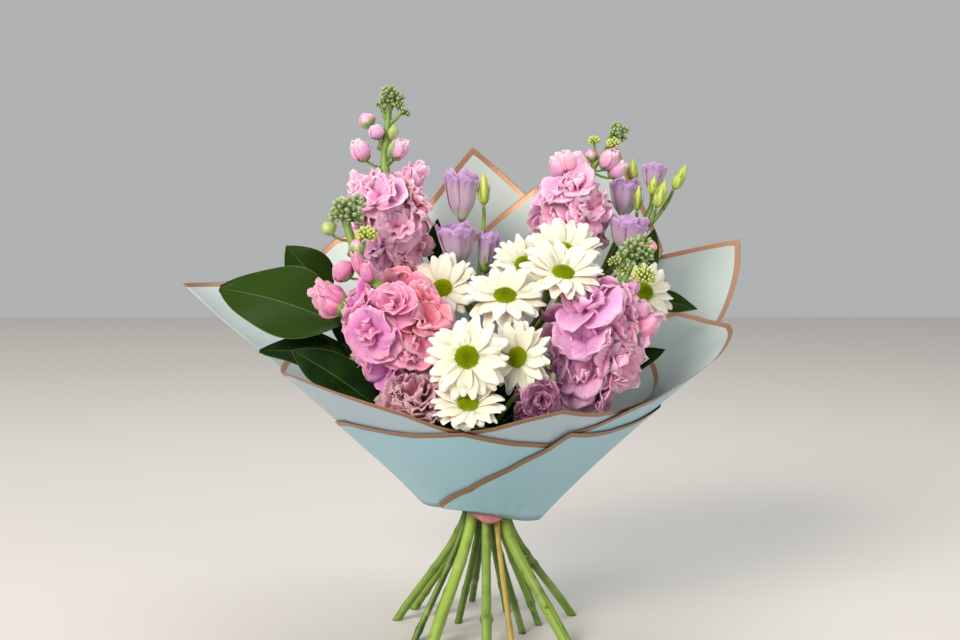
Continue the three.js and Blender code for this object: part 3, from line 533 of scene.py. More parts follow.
# Stock spikes. path and radii: the spike and the outer radius that its florets fill; bloom: the part of
# the path in flower; florets and size: how many and their petals' length; warm: how far the colour
# leans to salmon; axis: the green stem's radius; knots: crowds of tiny buds (centre, width, height,
# count, tint, bunches); buds: single ones (place, length, radius, how far coloured).
SPIKES = {
    "stock_1": {
        "path": [(-68, 8, 264), (-71, 9, 278), (-75, 10, 298), (-77, 11, 322), (-79, 12, 346), (-81, 14, 364),
                 (-82, 16, 378), (-80, 18, 398), (-79, 20, 414), (-78, 21, 427), (-77, 22, 438)],
        "radii": [0, 13, 27, 34, 35, 24, 10, 12, 8, 10, 0],
        "bloom": (0.08, 0.45), "florets": 16, "size": 26, "warm": 0.3, "axis": 4.3,
        "stem": "stock_stem_1", "material": STOCK_PINK, "slot": "stock_pink",
        "knots": [((-76, 20, 427), 21, 16, 64, -0.3, 5), ((-67, 18, 418), 14, 16, 34, -0.5, 2),
                  ((-84, 18, 420), 11, 12, 24, -0.4, 2)],
        "buds": [((-96, 15, 409), 14, 6.8, 0.6), ((-88, 12, 400), 11, 6.2, 0.72),
                 ((-75, 14, 400), 13, 4.4, -0.6), ((-101, 12, 385), 18, 7.8, 0.75),
                 ((-70, 12, 386), 17, 7.4, 0.75), ((-58, 15, 366), 24, 10, 0.9),
                 ((-100, 8, 357), 26, 12, 0.9), ((-84, 26, 390), 12, 5.0, 0.5),
                 ((-76, 8, 385), 15, 3.6, 0.1)],
    },
    "stock_2": {
        "path": [(-50, -50, 204), (-55, -53, 214), (-62, -57, 232), (-69, -60, 254), (-78, -60, 274),
                 (-90, -58, 289), (-99, -55, 306), (-105, -52, 322), (-108, -50, 334), (-111, -48, 346)],
        "radii": [0, 22, 39, 44, 38, 18, 8, 13, 12, 0],
        "bloom": (0.05, 0.44), "florets": 19, "size": 30, "warm": 0.6, "axis": 5.2,
        "stem": "stock_stem_2", "material": STOCK_SALMON, "slot": "stock_salmon",
        "knots": [((-106, -53, 336), 27, 20, 84, -0.3, 6), ((-91, -58, 318), 16, 11, 40, -1.0, 1)],
        "buds": [((-109, -57, 292), 15, 9.0, 0.78), ((-119, -55, 270), 33, 13, 0.95),
                 ((-97, -62, 298), 18, 5.0, 0.95), ((-90, -64, 291), 17, 6, 0.95),
                 ((-102, -44, 306), 11, 5.0, 0.4), ((-120, -54, 324), 12, 6, -0.6),
                 ((-98, -60, 310), 14, 6, 0.35)],
    },
    "stock_3": {
        "path": [(58, 22, 300), (62, 24, 311), (67, 26, 326), (72, 28, 344), (79, 30, 360), (89, 34, 374),
                 (98, 37, 386), (105, 39, 397), (109, 41, 407)],
        "radii": [0, 21, 34, 35, 26, 14, 8, 10, 0],
        "bloom": (0.05, 0.45), "florets": 15, "size": 26, "warm": 0.5, "axis": 3.0,
        "stem": "stock_stem_3", "material": STOCK_PINK, "slot": "stock_pink",
        "knots": [((109, 38, 401), 17, 15, 48, -0.3, 4), ((88, 31, 393), 10, 10, 34, -1.0, 1),
                  ((104, 31, 391), 11, 10, 34, -1.0, 1)],
        "buds": [((60, 30, 373), 20, 8.4, 0.9), ((75, 29, 374), 20, 8.4, 0.9), ((67, 25, 376), 19, 7, 0.9),
                 ((100, 28, 378), 18, 7.4, 0.8), ((107, 30, 370), 16, 6.6, 0.8),
                 ((86, 34, 382), 11, 5.0, 0.6)],
    },
    "stock_4": {
        "path": [(64, -42, 182), (68, -46, 194), (76, -50, 214), (83, -51, 238), (90, -50, 260),
                 (99, -46, 276), (108, -42, 288), (114, -39, 301), (118, -37, 313)],
        "radii": [0, 23, 36, 41, 34, 18, 12, 12, 0],
        "bloom": (0.05, 0.55), "florets": 19, "size": 30, "warm": 0.4, "axis": 3.6,
        "stem": "stock_stem_4", "material": STOCK_LILAC, "slot": "stock_lilac",
        "knots": [((115, -41, 305), 28, 19, 96, -0.3, 6), ((102, -46, 295), 17, 17, 46, -0.7, 2),
                  ((121, -44, 286), 18, 14, 60, -1.0, 1)],
        "buds": [((127, -40, 310), 9, 5.0, 0.6), ((108, -52, 264), 18, 8.4, 0.8),
                 ((118, -50, 262), 15, 7.0, 0.8), ((122, -46, 250), 29, 13, 0.95),
                 ((112, -46, 278), 14, 5.0, 0.8)],
    },
    "stock_5": {
        "path": [(32, -72, 174), (34, -78, 182), (37, -85, 194), (39, -88, 206), (41, -86, 217),
                 (44, -82, 228)],
        "radii": [0, 14, 18, 15, 6, 0],
        "bloom": (0.1, 0.62), "florets": 8, "size": 18, "warm": 0.05, "axis": 1.7,
        "stem": "stock_stem_5", "material": STOCK_DEEP, "slot": "stock_lilac",
        "knots": [((42, -85, 225), 12, 17, 30, -0.9, 2)],
        "buds": [((36, -90, 219), 9, 3.8, 0.0), ((48, -86, 214), 9, 3.8, 0.2)],
    },
}

# base, tip, the way the upper side faces, width, bow, how light the green is (partly the leaf's own tone,
# partly painted light and shade: leaf_left_1 lit, leaf_left_3 and leaf_left_4 in shade), stem
LEAVES = {
    "leaf_left_1": ((-113, -32, 249), (-211, -14, 276), (-0.2, -0.7, 0.68), 66, 7, 0.8, "foliage_stem_left"),
    "leaf_left_2": ((-131, 34, 266), (-164, 30, 308), (0.1, -0.9, 0.3), 40, 5, 0.6, "foliage_stem_back"),
    "leaf_left_3": ((-108, -36, 222), (-176, -40, 229), (-0.1, -0.6, 0.79), 36, 4, 0.05, "foliage_stem_left"),
    "leaf_left_4": ((-84, -66, 190), (-148, -62, 232), (0.3, -0.85, 0.42), 36, 5, 0.0, "foliage_stem_left"),
    "leaf_back": ((-44, 40, 292), (-40, 36, 330), (0, -1, 0.1), 15, 3, 0.4, "foliage_stem_back"),
    "leaf_right_1": ((123, 24, 272), (137, 22, 322), (0.2, -0.95, 0.2), 20, 4, 0.9, "foliage_stem_right"),
    "leaf_right_2": ((124, 30, 262), (174, 30, 256), (0.1, -0.75, 0.65), 22, 5, 0.5, "foliage_stem_right"),
    "leaf_right_3": ((108, -8, 208), (141, -20, 228), (-0.2, -0.8, 0.6), 18, 3, 0.3, "foliage_stem_right"),
    "leaf_front": ((-10, -84, 166), (-17, -121, 184), (0, -0.45, 0.89), 30, 3, 0.1, "daisy_stem_front"),
}

# foot on the table, place in the tie, radius, points passed on the way, fork, how light the green is,
# and the joints that show (height, swelling)
STEMS = {
    "stock_stem_1": ((-61, 42), (-9.9, 10.1), 3.3, [(-38, 14, 180)], None, 0.6, []),
    "stock_stem_2": ((-44, -70), (-10.8, -8), 4.6, [(-30, -36, 155)], None, 1.0, [(20, 0.08), (59, 0.1)]),
    "stock_stem_3": ((18, 34), (4.9, 4), 3.3, [(28, 12, 190), (44, 18, 250)], None, 0.15, []),
    "stock_stem_4": ((64, -62), (11.4, -7.6), 4.5, [(38, -28, 145)], None, 0.7, [(27, 0.1), (60, 0.06)]),
    "stock_stem_5": ((20, -67), (8.4, -14.4), 2.2, [(18, -44, 142)], None, 0.6, [(14, 0.15), (48, 0.12)]),
    "carnation_stem": ((-57, -48), (-14.4, -0.9), 2.6, [(-36, -24, 150)], None, 0.1, [(9, 0.25)]),
    "daisy_stem_front": ((0, -76), (-0.6, -8.8), 3.8, [], (-2, -42, 160), 0.55, [(22, 0.42), (66, 0.1)]),
    "daisy_stem_right": ((29, -25), (4.1, -2.6), 2.7, [], (22, -20, 225), 0.0, []),
    "daisy_stem_side": ((43, -3), (12.2, 0.4), 2.6, [(62, -2, 180), (104, -3, 240)], None, 0.45, [(18, 0.3)]),
    "daisy_stem_left": ((-23, 3), (-4.6, -2.2), 2.8, [(-24, -8, 200)], None, 0.1, []),
    "lisianthus_stem_left": ((-40, 26), (-5.2, 4.2), 3, [(-7, 6, 160)], (-10, 9, 245), 0.4, []),
    "lisianthus_stem_right": ((40, 60), (8.1, 10.2), 2.6, [(30, 21, 150)], (88, 32, 270), 0.1, []),
    "foliage_stem_left": ((-74, 11), (-14.8, 5.3), 3.2, [], (-62, -12, 190), 0.5, [(12, 0.1)]),
    "foliage_stem_back": ((-12, 66), (-1.2, 8.9), 2.8, [(-7, 23, 150)], (-34, 34, 220), 0.2, []),
    "foliage_stem_right": ((72, 24), (15.1, 5.8), 3.2, [], (80, 16, 200), 0.35, [(46, 0.25), (56, 0.2)]),
}
TIE_HEIGHT = 104
FOOT_REACH = 0.06                   # each stem's curve starts this share of its run below the table
HEAD_RUN, SPIKE_RUN, LEAF_RUN = 14, 10, 8       # length of straight stalk behind each thing carried
NODE_SPACING = 38                   # between joints on a stem, where the photo shows none
STEM_SIDES = 18


# ---- daisies
SAG = 0.9                           # how much lower a daisy's rays lie on the side that hangs down


def daisy(name, row, seed):
    """Two rounds of strap-shaped rays about a domed disc of tiny florets set on a spiral
    (r = R sqrt(k / n), angle = k golden), with a cup of green bracts behind."""
    base, faces, radius, droop, lift, _ = row
    rng = np.random.default_rng(seed)
    across, out, up = axes(faces)
    disc = 0.27 * radius
    rays = []
    for count, reach, height, rise in ((14, 1.06, 10.2, lift), (12, 1.0, 11.4, lift + 0.12)):
        turn = np.arange(count) / count * TAU + rng.uniform(0, 1) + rng.normal(0, 0.07, count)
        along = spokes(turn, across, out)
        start = base + up * height + along * 0.6 * disc
        bend = -0.09 * droop - 0.12 + rng.normal(0, 0.1, count)
        rise = rise + SAG * along[:, 2] * (1 - abs(up[1]))
        rays.append(petals(
            start, along, up, (reach * radius - 0.6 * disc) * rng.uniform(0.92, 1.03, count),
            0.37 * radius * rng.uniform(0.84, 1.14, count), rise + rng.normal(0, 0.1, count), bend,
            cup=rng.uniform(-0.2, 0.3, count), ruffle=1.1, waves=1.0, phase=rng.uniform(0, TAU, count),
            tip=0.24, claw=0.6, notch=0.02, groove=0.35, rows=10, cols=8))
    rays = np.concatenate(rays)
    k = np.arange(150)
    spread = np.sqrt((k + 0.5) / len(k))
    around = spokes(k * GOLDEN, across, out)
    dome = base + up * 12.6 + around * (disc * spread)[:, None] + np.outer(3.4 * (1 - spread**2), up)
    lean = unit(up + 0.55 * around * spread[:, None])
    florets = ovoids(dome - lean, lean, 2.5, 0.95, 0.25 + 0.75 * spread, finish=1, rows=3, sides=5)
    profile = [(1.7, 0.4), (3.2, 1.5), (5.4, 5.0), (7.4, 8.6), (disc + 0.6, 11.4), (disc, 12.9),
               (disc * 0.5, 14.6)]
    cup = lathe(base, up, profile, 20, 0.5, 2)
    k = np.arange(32)
    along = spokes(k * GOLDEN, across, out)
    level = np.where(k % 2 == 0, 3.2, 5.8)[:, None]
    bracts = petals(base + up * level + along * (2.8 + 0.45 * level), along, up, 5.4, 3.2, 0.95, -0.2,
                    tip=0.4, claw=0.6, rows=4, cols=4)
    piece(name + "_flower", name,
          within_wrap([shells(rays, 0.4, rng.uniform(0, 1, len(rays))), florets, cup,
                       shells(bracts, 0.35, 0.6, 2)]),
          [DAISY_PETAL, DISC, SEPAL])


def lathe(base, up, profile, sides, tint, finish):
    """A profile of (radius, height) turned round an axis, closed at both ends."""
    across, out, up = axes(up)
    radius, height = np.array(profile, float).T
    circle = spokes(np.arange(sides) / sides * TAU, across, out)
    points = base + up * height[:, None, None] + circle[None] * radius[:, None, None]
    low, high = (np.asarray(base, float)[None] + up * h for h in (height[0], height[-1]))
    return rings(points[None], low, high, tint, finish)


# ---- lisianthus
def wound(base, faces, height, width, rounds, profile, wave, rng):
    """Broad petals wound round each other: the radius follows the profile up the side and grows by a
    tenth from one edge of a petal to the other, so that each overlaps the next, and the rim waves.
    rounds gives each round's count, and its radius and height as shares of the whole."""
    across, out, up = axes(faces)
    s = np.linspace(0, 1, 12)[None, :, None]
    x = np.linspace(-1, 1, 13)[None, None, :]
    made = []
    for count, share, tall in rounds:
        turn = (np.arange(count) / count * TAU + rng.uniform(0, TAU))[:, None, None]
        top = rng.uniform(0.9, 1.04, count)[:, None, None]
        flute = wave * s**2 * np.sin(4 * np.pi * x + 3 * turn)
        flute = flute + 0.5 * wave * s**3 * np.sin(9 * np.pi * x + turn)
        r = width / 2 * share * np.interp(s, *profile) * (1 + 0.1 * x + flute)
        angle = turn + x * (0.35 + 0.75 * np.minimum(s * 3, 1)) * 1.05
        rim = 0.08 * np.abs(x) ** 3 + 0.6 * wave * np.sin(5 * x + turn)
        z = height * tall * (top * s - rim * s**3) + 0 * x
        made.append(base + across * (r * np.cos(angle))[..., None] + out * (r * np.sin(angle))[..., None]
                    + up * z[..., None])
    return np.concatenate(made)[:, :, ::-1]


def narrow_sepals(base, up, length, width, spread, rng):
    """Five thin green sepals that taper to a point and stand round a bloom."""
    across, out, up = axes(up)
    along = spokes(np.arange(5) / 5 * TAU + rng.uniform(0, 1), across, out)
    made = petals(base + up + along * spread, along, up, length, width, 0.95, 0.75,
                  cup=0.5, tip=0.0, claw=0.9, rows=8, cols=5)
    narrow = np.linspace(1, 0.12, 8)[None, :, None, None]
    return made[:, :, 2:3] + (made - made[:, :, 2:3]) * narrow


BELL = ([0, 0.15, 0.36, 0.7, 0.94, 1], [0.14, 0.42, 0.74, 0.92, 1.0, 1.03])


def lisianthus(name, row, seed):
    """A bell of wound petals in five narrow sepals."""
    base, faces, height, width, _ = row
    rng = np.random.default_rng(seed)
    rounds = ((5, 1.0, 0.97), (4, 0.8, 1.0), (3, 0.55, 0.94))
    blooms = wound(base, faces, height, width, rounds, BELL, 0.1, rng)
    cup = lathe(base, faces, [(1.2, 0.2), (2.3, 0.9), (3.8, 3.2), (4.9, 6.5), (2.0, 7.5)], 14, 0.4, 1)
    sepals = narrow_sepals(base, faces, 0.62 * height, 4.2, 2.2, rng)
    piece(name + "_flower", name,
          [shells(blooms, 0.35, rng.uniform(0, 1, len(blooms))), cup, shells(sepals, 0.3, 0.2, 1)],
          [LISIANTHUS_PETAL, SEPAL])


def lisianthus_bud(name, row, seed):
    """A pointed bud whose petals wind into a spiral, held in five thin sepals."""
    base, faces, height, width, _ = row
    _, _, up = axes(faces)
    closed = ovoids(base + up * 0.8, up, height - 0.8, width / 2, 0.0, lobes=0.14, flutes=5, twist=5,
                    belly=0.62, rows=14, sides=20)
    sepals = narrow_sepals(base, faces, 0.66 * height, 2.4, 1.0, np.random.default_rng(seed))
    cup = lathe(base, up, [(0.9, 0.1), (1.6, 0.8), (2.0, 2.2), (1.2, 3.4)], 10, 0.6, 1)
    piece(name + "_closed", name, [closed, cup, shells(sepals, 0.3, 0.4, 1)],
          [LISIANTHUS_BUD, SEPAL])


# ---- carnation
def carnation(name, row, seed):
    """Many fan-shaped petals on a spiral, steeper towards the middle, with toothed and crumpled ends,
    out of a long green calyx."""
    base, faces, radius, _ = row
    rng = np.random.default_rng(seed)
    across, out, up = axes(faces)
    count = 36
    k = np.arange(count)
    depth = k / (count - 1)
    along = spokes(k * GOLDEN + rng.normal(0, 0.1, count), across, out)
    fans = petals(
        base + up * 17 + along * (1.5 + 3 * (1 - depth))[:, None] + np.outer(2 * depth, up), along, up,
        radius * (1.0 - 0.15 * depth) * rng.uniform(0.9, 1.05, count), 0.95 * radius,
        0.3 + 1.1 * depth + rng.normal(0, 0.14, count), -0.5 * (1 - depth) + rng.normal(0, 0.2, count),
        cup=0.1, ruffle=3.2, waves=rng.uniform(1.7, 2.9, count), phase=rng.uniform(0, TAU, count), tip=0.07,
        claw=0.2, notch=0.05, rows=10, cols=21)
    teeth = np.zeros(fans.shape[:3])
    teeth[:, -1, ::2] = 1.0
    fans = fans - (fans - np.roll(fans, 1, 1)) * (0.42 * teeth)[..., None]
    profile = [(2.6, 0.3), (4.2, 1.5), (5.0, 5), (5.6, 10), (6.4, 15), (6.9, 18.5), (3, 20)]
    cup = lathe(base, up, profile, 18, 0.5, 1)
    piece(name + "_flower", name,
          within_wrap([shells(fans, 0.35, rng.uniform(0, 1, count)), cup]), [CARNATION_PETAL, SEPAL])


# ---- stock
ROSETTE = (                          # count, length, width, rise, curl, ruffle, height of each round
    (5, 1.0, 1.16, 0.1, -0.5, 0.1, 0.02),
    (5, 0.82, 1.0, 0.55, -0.7, 0.13, 0.08),
    (5, 0.56, 0.72, 0.95, -0.5, 0.16, 0.12),
)
HALF_OPEN = (
    (5, 0.86, 0.72, 1.0, 0.7, 0.07, 0.04),
    (5, 0.95, 0.66, 1.2, 0.4, 0.09, 0.04),
    (4, 0.98, 0.5, 1.4, 0.1, 0.1, 0.04),
)
FURLED = ([0, 0.12, 0.4, 0.7, 0.9, 1], [0.2, 0.66, 1.0, 0.96, 0.74, 0.6])
OPENING = 0.7                       # a bud coloured further than this is opening
HALF_OPEN_RADIUS = 9                # and one thicker than this is half open


def knot(middle, wide, tall, many, tint, bunches, rng):
    """A crowd of tiny buds in bunches. Each bud points out from its bunch, on a short stalk."""
    middle = np.array(middle, float)
    group = np.arange(many) % bunches
    turn = group * GOLDEN + 1.0
    hub = np.stack([np.cos(turn) * wide * 0.24, np.sin(turn) * wide * 0.24,
                    (group - (bunches - 1) / 2) / bunches * tall * 0.75], -1) * (bunches > 1)
    each = many / bunches
    rise = 1 - 1.6 * (np.arange(many) // bunches + 0.5) / each
    around = np.arange(many) // bunches * GOLDEN + group
    flat = np.sqrt(np.clip(1 - rise**2, 0, 1))
    out = np.stack([np.cos(around) * flat, np.sin(around) * flat, rise], -1)
    reach = wide * (0.5 if bunches == 1 else 0.3) * rng.uniform(0.8, 1.12, many)
    point = unit(out + 0.4 * unit(hub + UP * 0.01) + UP * 0.35)
    small = rng.uniform(0.75, 1.1, many) * reach.mean() / math.sqrt(each) * (1.2 if bunches == 1 else 0.95)
    spot = middle + hub + out * (reach - small * 1.8)[:, None]
    path = np.stack([middle + hub * 0.5 - UP * 2, middle + hub, spot + point * 0.5], 1)
    return [ovoids(spot, point, small * 2.7, small, tint + rng.normal(0, 0.08, many), 2, lobes=0.1,
                   rows=5, sides=6),
            tubes(path, 0.5, 4, 0.5, 1)]


def stock(name, spec, seed):
    """Double florets on a golden spiral round the upper stem, out to the spike's own radius; buds on
    stalks above them; and crowds of tiny green buds at its tip."""
    rng = np.random.default_rng(seed)
    dense = smooth_path(spec["path"], 8)
    share = np.linspace(0, 1, len(dense))
    radii = np.interp(share, np.linspace(0, 1, len(spec["radii"])), spec["radii"])
    at = lambda t: np.stack([np.interp(t, share, dense[:, i]) for i in range(3)], -1)
    low, high = spec["bloom"]
    count, size = spec["florets"], spec["size"]
    inside = (share >= low) & (share <= high)
    crowd = np.cumsum(np.where(inside, np.maximum(radii, 8), 0))
    t = np.interp((np.arange(count) + 0.5) / count, crowd / crowd[-1], share)
    turn = np.arange(count) * GOLDEN + seed
    tangent = unit(at(np.minimum(t + 0.03, 1)) - at(np.maximum(t - 0.03, 0)))
    across, out, up = basis(tangent)
    outward = across * np.cos(turn)[:, None] + out * np.sin(turn)[:, None]
    lean = np.interp(t, [low, high], [-0.3, 0.75])[:, None]
    axis = unit(outward + up * lean + rng.normal(0, 0.2, (count, 3)))
    wide = np.interp(t, share, radii)
    reach = np.maximum(wide - rng.uniform(0.55, 0.75, count) * size, 1.5)
    centre = at(t) + outward * reach[:, None]
    big = size * rng.uniform(0.85, 1.08, count)
    leaves, owner = whorls(centre, axis, big, ROSETTE, rng)
    # Painted light: the 0.6 x outward x lean makes florets facing left, towards the key light, lilac and those
    # facing right salmon. The random part is the florets' own colour.
    warm = np.clip(rng.normal(spec["warm"], 0.18, count) + 0.6 * outward[:, 0], 0, 1)
    tint = np.clip(warm[owner] + rng.normal(0, 0.12, len(owner)), 0, 1)
    parts = [shells(leaves, 0.35, tint)]
    stalk = at(np.clip(t - 0.07, 0, 1))
    path = np.stack([stalk, (stalk + centre) / 2 - up * 1.0, centre - axis * 2.5], 1)
    core = spec["axis"] * np.interp(share, [0, 0.55, 1], [1, 0.9, 0.35])
    parts += [tubes(path, 0.9, 5, 0.6, 1),
              ovoids(centre - axis * 4.5, axis, 8.5, 2.6, 0.4, 1, rows=4, sides=6),
              tubes(dense[None], core[None], 12, 0.8, 1, ridges=0.05)]

    # single buds, each leaning away from the stem, on a stalk that leaves the stem lower down; the big
    # ones are opening, with loose petals rolled round them
    place, long, fat, coloured = (np.array([b[i] for b in spec["buds"]], float) for i in range(4))
    nearest = np.linalg.norm(dense[None] - (place[:, None] - UP * 6), axis=2).argmin(1)
    root = dense[np.maximum(nearest - 4, 0)]
    lift = np.interp(fat, [5, 12], [1.3, 0.9])[:, None]
    point = unit(unit(place - dense[nearest]) + UP * lift)
    foot = place - point * (long / 2)[:, None]
    opening = coloured > OPENING
    parts.append(ovoids(foot, point, long, np.where(opening, 0.75, 1.0) * fat, coloured, 2, lobes=0.12,
                        flutes=3, twist=3, belly=0.9, rows=9, sides=12))
    path = np.stack([root, root * 0.45 + foot * 0.55 - UP * 1.5, foot - point * 1.5, foot + point], 1)
    parts.append(tubes(path, 1.0, 6, 0.55, 1))
    half_open = fat > HALF_OPEN_RADIUS
    for k in np.flatnonzero(opening & ~half_open):
        wrapped = wound(foot[k], point[k], long[k] * 1.05, fat[k] * 2, ((3, 1.0, 0.9), (3, 0.82, 1.0)),
                        FURLED, 0.06, rng)
        parts.append(shells(wrapped, 0.35, np.clip(spec["warm"] + rng.normal(0, 0.25, len(wrapped)), 0, 1)))
    if half_open.any():
        ruffles, _ = whorls(foot[half_open], point[half_open], long[half_open], HALF_OPEN, rng, 0.16)
        parts.append(shells(ruffles, 0.35, np.clip(spec["warm"] + rng.normal(0, 0.2, len(ruffles)), 0, 1)))
    if opening.any():
        parts.append(ovoids(foot[opening] - point[opening], point[opening], long[opening] * 0.45,
                            fat[opening] * 0.7, 0.5, 1, rows=6, sides=10))
    for crowd in spec["knots"]:
        parts += knot(*crowd, rng)
        middle = np.array(crowd[0], float)
        near = dense[max(np.linalg.norm(dense - (middle - UP * 8), axis=1).argmin() - 2, 0)]
        limb = smooth_path([near, near * 0.4 + middle * 0.6 - UP * 1.5, middle], 5)
        parts.append(tubes(limb[None], np.linspace(0.5 * spec["axis"], 0.9, len(limb))[None], 7, 0.7, 1))
    piece(name + "_flowers", name, within_wrap(parts), [spec["material"], SEPAL, STOCK_BUD])


# ---- leaves
def blade(base, tip, faces, width, bow, phase, rows=44, cols=25):
    """A blade of half width w sin(pi t^0.85)^0.8 that bows along its length and folds up from its
    midrib. The midrib is a furrow above, the side veins are shallow furrows that slant to the tip, and
    the margin waves."""
    start, end = np.array(base, float), np.array(tip, float)
    long = np.linalg.norm(end - start)
    along = (end - start) / long
    across = unit(np.cross(along, np.array(faces, float)))
    normal = np.cross(across, along)
    t = np.linspace(0, 1, rows)[:, None]
    x = np.linspace(-1, 1, cols)[None, :]
    half = width / 2 * np.sin(np.pi * np.clip(t, 0.012, 0.992) ** 0.85) ** 0.8
    vein = np.cos(TAU * (SIDE_VEINS * t - 1.6 * np.abs(x)))
    lift = (bow * np.sin(np.pi * t) + 0.12 * half * np.abs(x) - 0.9 * np.exp(-(x / 0.06) ** 2) * (1 - t)
            + 0.14 * vein * np.abs(x) * (1 - np.abs(x))
            + 0.035 * width * x * x * np.sin(TAU * 1.6 * t + phase + 1.2 * x))
    return (start + along * (t * long + 0 * x)[..., None] + across * (x * half)[..., None]
            + normal * lift[..., None])


def leaf(name, row, seed):
    """One of the leaves that show."""
    *shape, light, _ = row
    # light is the leaf's tone, partly painted light and shade
    points = blade(*shape, np.random.default_rng(seed).uniform(0, TAU))
    piece(name + "_blade", name, within_wrap([shells(points[None], 0.55, light)]), [LEAF])


# ---- stems
def carried_by(stem):
    """Where each thing on a stem seats, which way it points and the straight run of stalk behind it."""
    seats = [(b, f, HEAD_RUN) for table in (DAISIES, BELLS, BUDS, CARNATIONS)
             for b, f, *_, s in table.values() if s == stem]
    seats += [(s["path"][0], np.subtract(s["path"][1], s["path"][0]), SPIKE_RUN)
              for s in SPIKES.values() if s["stem"] == stem]
    seats += [(b, np.subtract(t, b), LEAF_RUN) for b, t, *_, s in LEAVES.values() if s == stem]
    return seats


def stalk_end(seat):
    base, direction, run = seat
    back = unit(np.array(direction, float))
    return [np.array(base) - back * run, np.array(base) - back * SEAT_GAP]


def stem_path(name):
    """The middle of a stem, from the table up."""
    cut, bound, _, via, fork, *_ = STEMS[name]
    cut, bound = np.array(cut, float), np.array(bound, float)
    foot = [*(cut + (cut - bound) * FOOT_REACH), -FOOT_REACH * TIE_HEIGHT]
    upper = [fork] if fork else stalk_end(carried_by(name)[0])
    path = smooth_path([foot, [*bound, TIE_HEIGHT], *via, *upper], 40)
    above = np.argmax(path[:, 2] > 0)
    share = -path[above - 1, 2] / (path[above, 2] - path[above - 1, 2])
    return np.vstack([path[above - 1] + share * (path[above] - path[above - 1]), path[above:]])


def stem(name, row, seed):
    """A stalk from its level cut on the table, through the tie, to its fork or its flower. It tapers a
    little, swells at nodes spaced evenly or at the joints that show, and a side shoot's scar stands out
    at each."""
    _, _, radius, _, fork, light, joints = row
    rng = np.random.default_rng(seed)
    path = stem_path(name)
    length = np.concatenate([[0], np.cumsum(np.linalg.norm(np.diff(path, axis=0), axis=1))])
    nodes = np.arange(rng.uniform(14, 30), length[-1] - 15, NODE_SPACING) + rng.normal(0, 3)
    if joints:
        shown = np.interp([z for z, _ in joints], path[:, 2], length)
        nodes = np.concatenate([shown, nodes[nodes > shown.max() + 25]])
    size = np.full(len(nodes), 0.17)
    size[:len(joints)] = [s for _, s in joints]
    bulge = sum(k * np.exp(-((length - d) / 2.8) ** 2) for k, d in zip(size, nodes))
    radii = radius * np.interp(length, [0, length[-1]], [1.03, 0.86]) * (1 + bulge)
    body = tubes(path[None], radii[None], STEM_SIDES, light, ridges=0.04, end_side=0.0)
    body["tint"][:-2] -= np.repeat(np.clip(bulge * 1.6, 0, 0.4), STEM_SIDES)
    # the foot is cut level: its rings are sheared along the stem so that the first lies on the table
    points = body["points"][:-2].reshape(len(path), STEM_SIDES, 3)
    slope = unit(path[1] - path[0])
    fade = np.clip(1 - path[:, 2] / (4 * radius), 0, 1)[:, None]
    rise = points[:, :, 2] - path[:, 2:]
    points -= slope * (rise * fade / slope[2])[..., None]
    body["points"][:-2] = points.reshape(-1, 3)
    parts = [body]
    if len(nodes):
        spot = np.stack([np.interp(nodes, length, path[:, i]) for i in range(3)], -1)
        turn = rng.uniform(0, TAU, len(nodes))
        outward = np.stack([np.cos(turn), np.sin(turn), np.full(len(nodes), 0.5)], -1)
        parts.append(ovoids(spot + outward * radius * 0.62, unit(outward), radius * 0.75, radius * 0.36,
                            max(light - 0.35, 0), rows=4, sides=8))
    if fork:
        for seat in carried_by(name):
            branch = smooth_path([fork, *stalk_end(seat)], 14)
            taper = np.linspace(1.9, 1.35, len(branch))
            parts.append(tubes(branch[None], taper[None], 10, min(light + 0.2, 1)))
        parts.append(ovoids(np.array(fork) - UP * radius * 1.5, UP, radius * 3, radius * 1.3, light,
                            rows=8, sides=14))
    slot, material = ("dry_stem", DRY_STEM) if name == "stock_stem_5" else ("green_stem", STEM)
    piece(name + "_stalk", name, parts, [material])


# height, distance forward, left end, right end and count of each row of tips
FILLER_ROWS = [(188, -58, -108, 62, 13), (214, -34, -130, 70, 16), (240, -10, -142, 66, 16),
               (196, 18, -110, 96, 10)]
FILLER_REACH = 0.78                 # the tips stay within this share of the wrap's radius


def filler_leaves(seed):
    """The greenery that fills the wrap between the flowers, seen only as dark blades in the shade. Their
    tips are spread in four rows, and each grows from the nearest stem, lower down."""
    rng = np.random.default_rng(seed)
    spine = np.concatenate([stem_path(name) for name in STEMS])
    spine = spine[(spine[:, 2] > 125) & (spine[:, 2] < 235)]
    blades = []
    for z, y, left, right, count in FILLER_ROWS:
        x = np.linspace(left, right, count) + rng.normal(0, 3, count)
        tips = np.stack([x, y + rng.normal(0, 6, count), z + rng.normal(0, 7, count)], -1)
        for tip in tips:
            room = np.hypot(*wrap_point(np.degrees(np.arctan2(tip[1], tip[0])), tip[2], 0, 0)[:2])
            tip[:2] *= min(1, FILLER_REACH * room / np.hypot(*tip[:2]))
            below = tip * [0.62, 0.62, 1] - UP * rng.uniform(44, 54)
            root = spine[np.linalg.norm(spine - below, axis=1).argmin()]
            facing = unit(np.array([rng.normal(0, 0.4), -1, 0.35]))
            blades.append(blade(root, tip, facing, rng.uniform(20, 28), 5, rng.uniform(0, TAU), 14, 9))
    # Their low tint, 0 to 0.25, is painted shade that makes the blades dark.
    made = shells(np.stack(blades), 0.5, rng.uniform(0, 0.25, len(blades)))
    piece("filler_leaves_blades", None, within_wrap([made]), [LEAF])


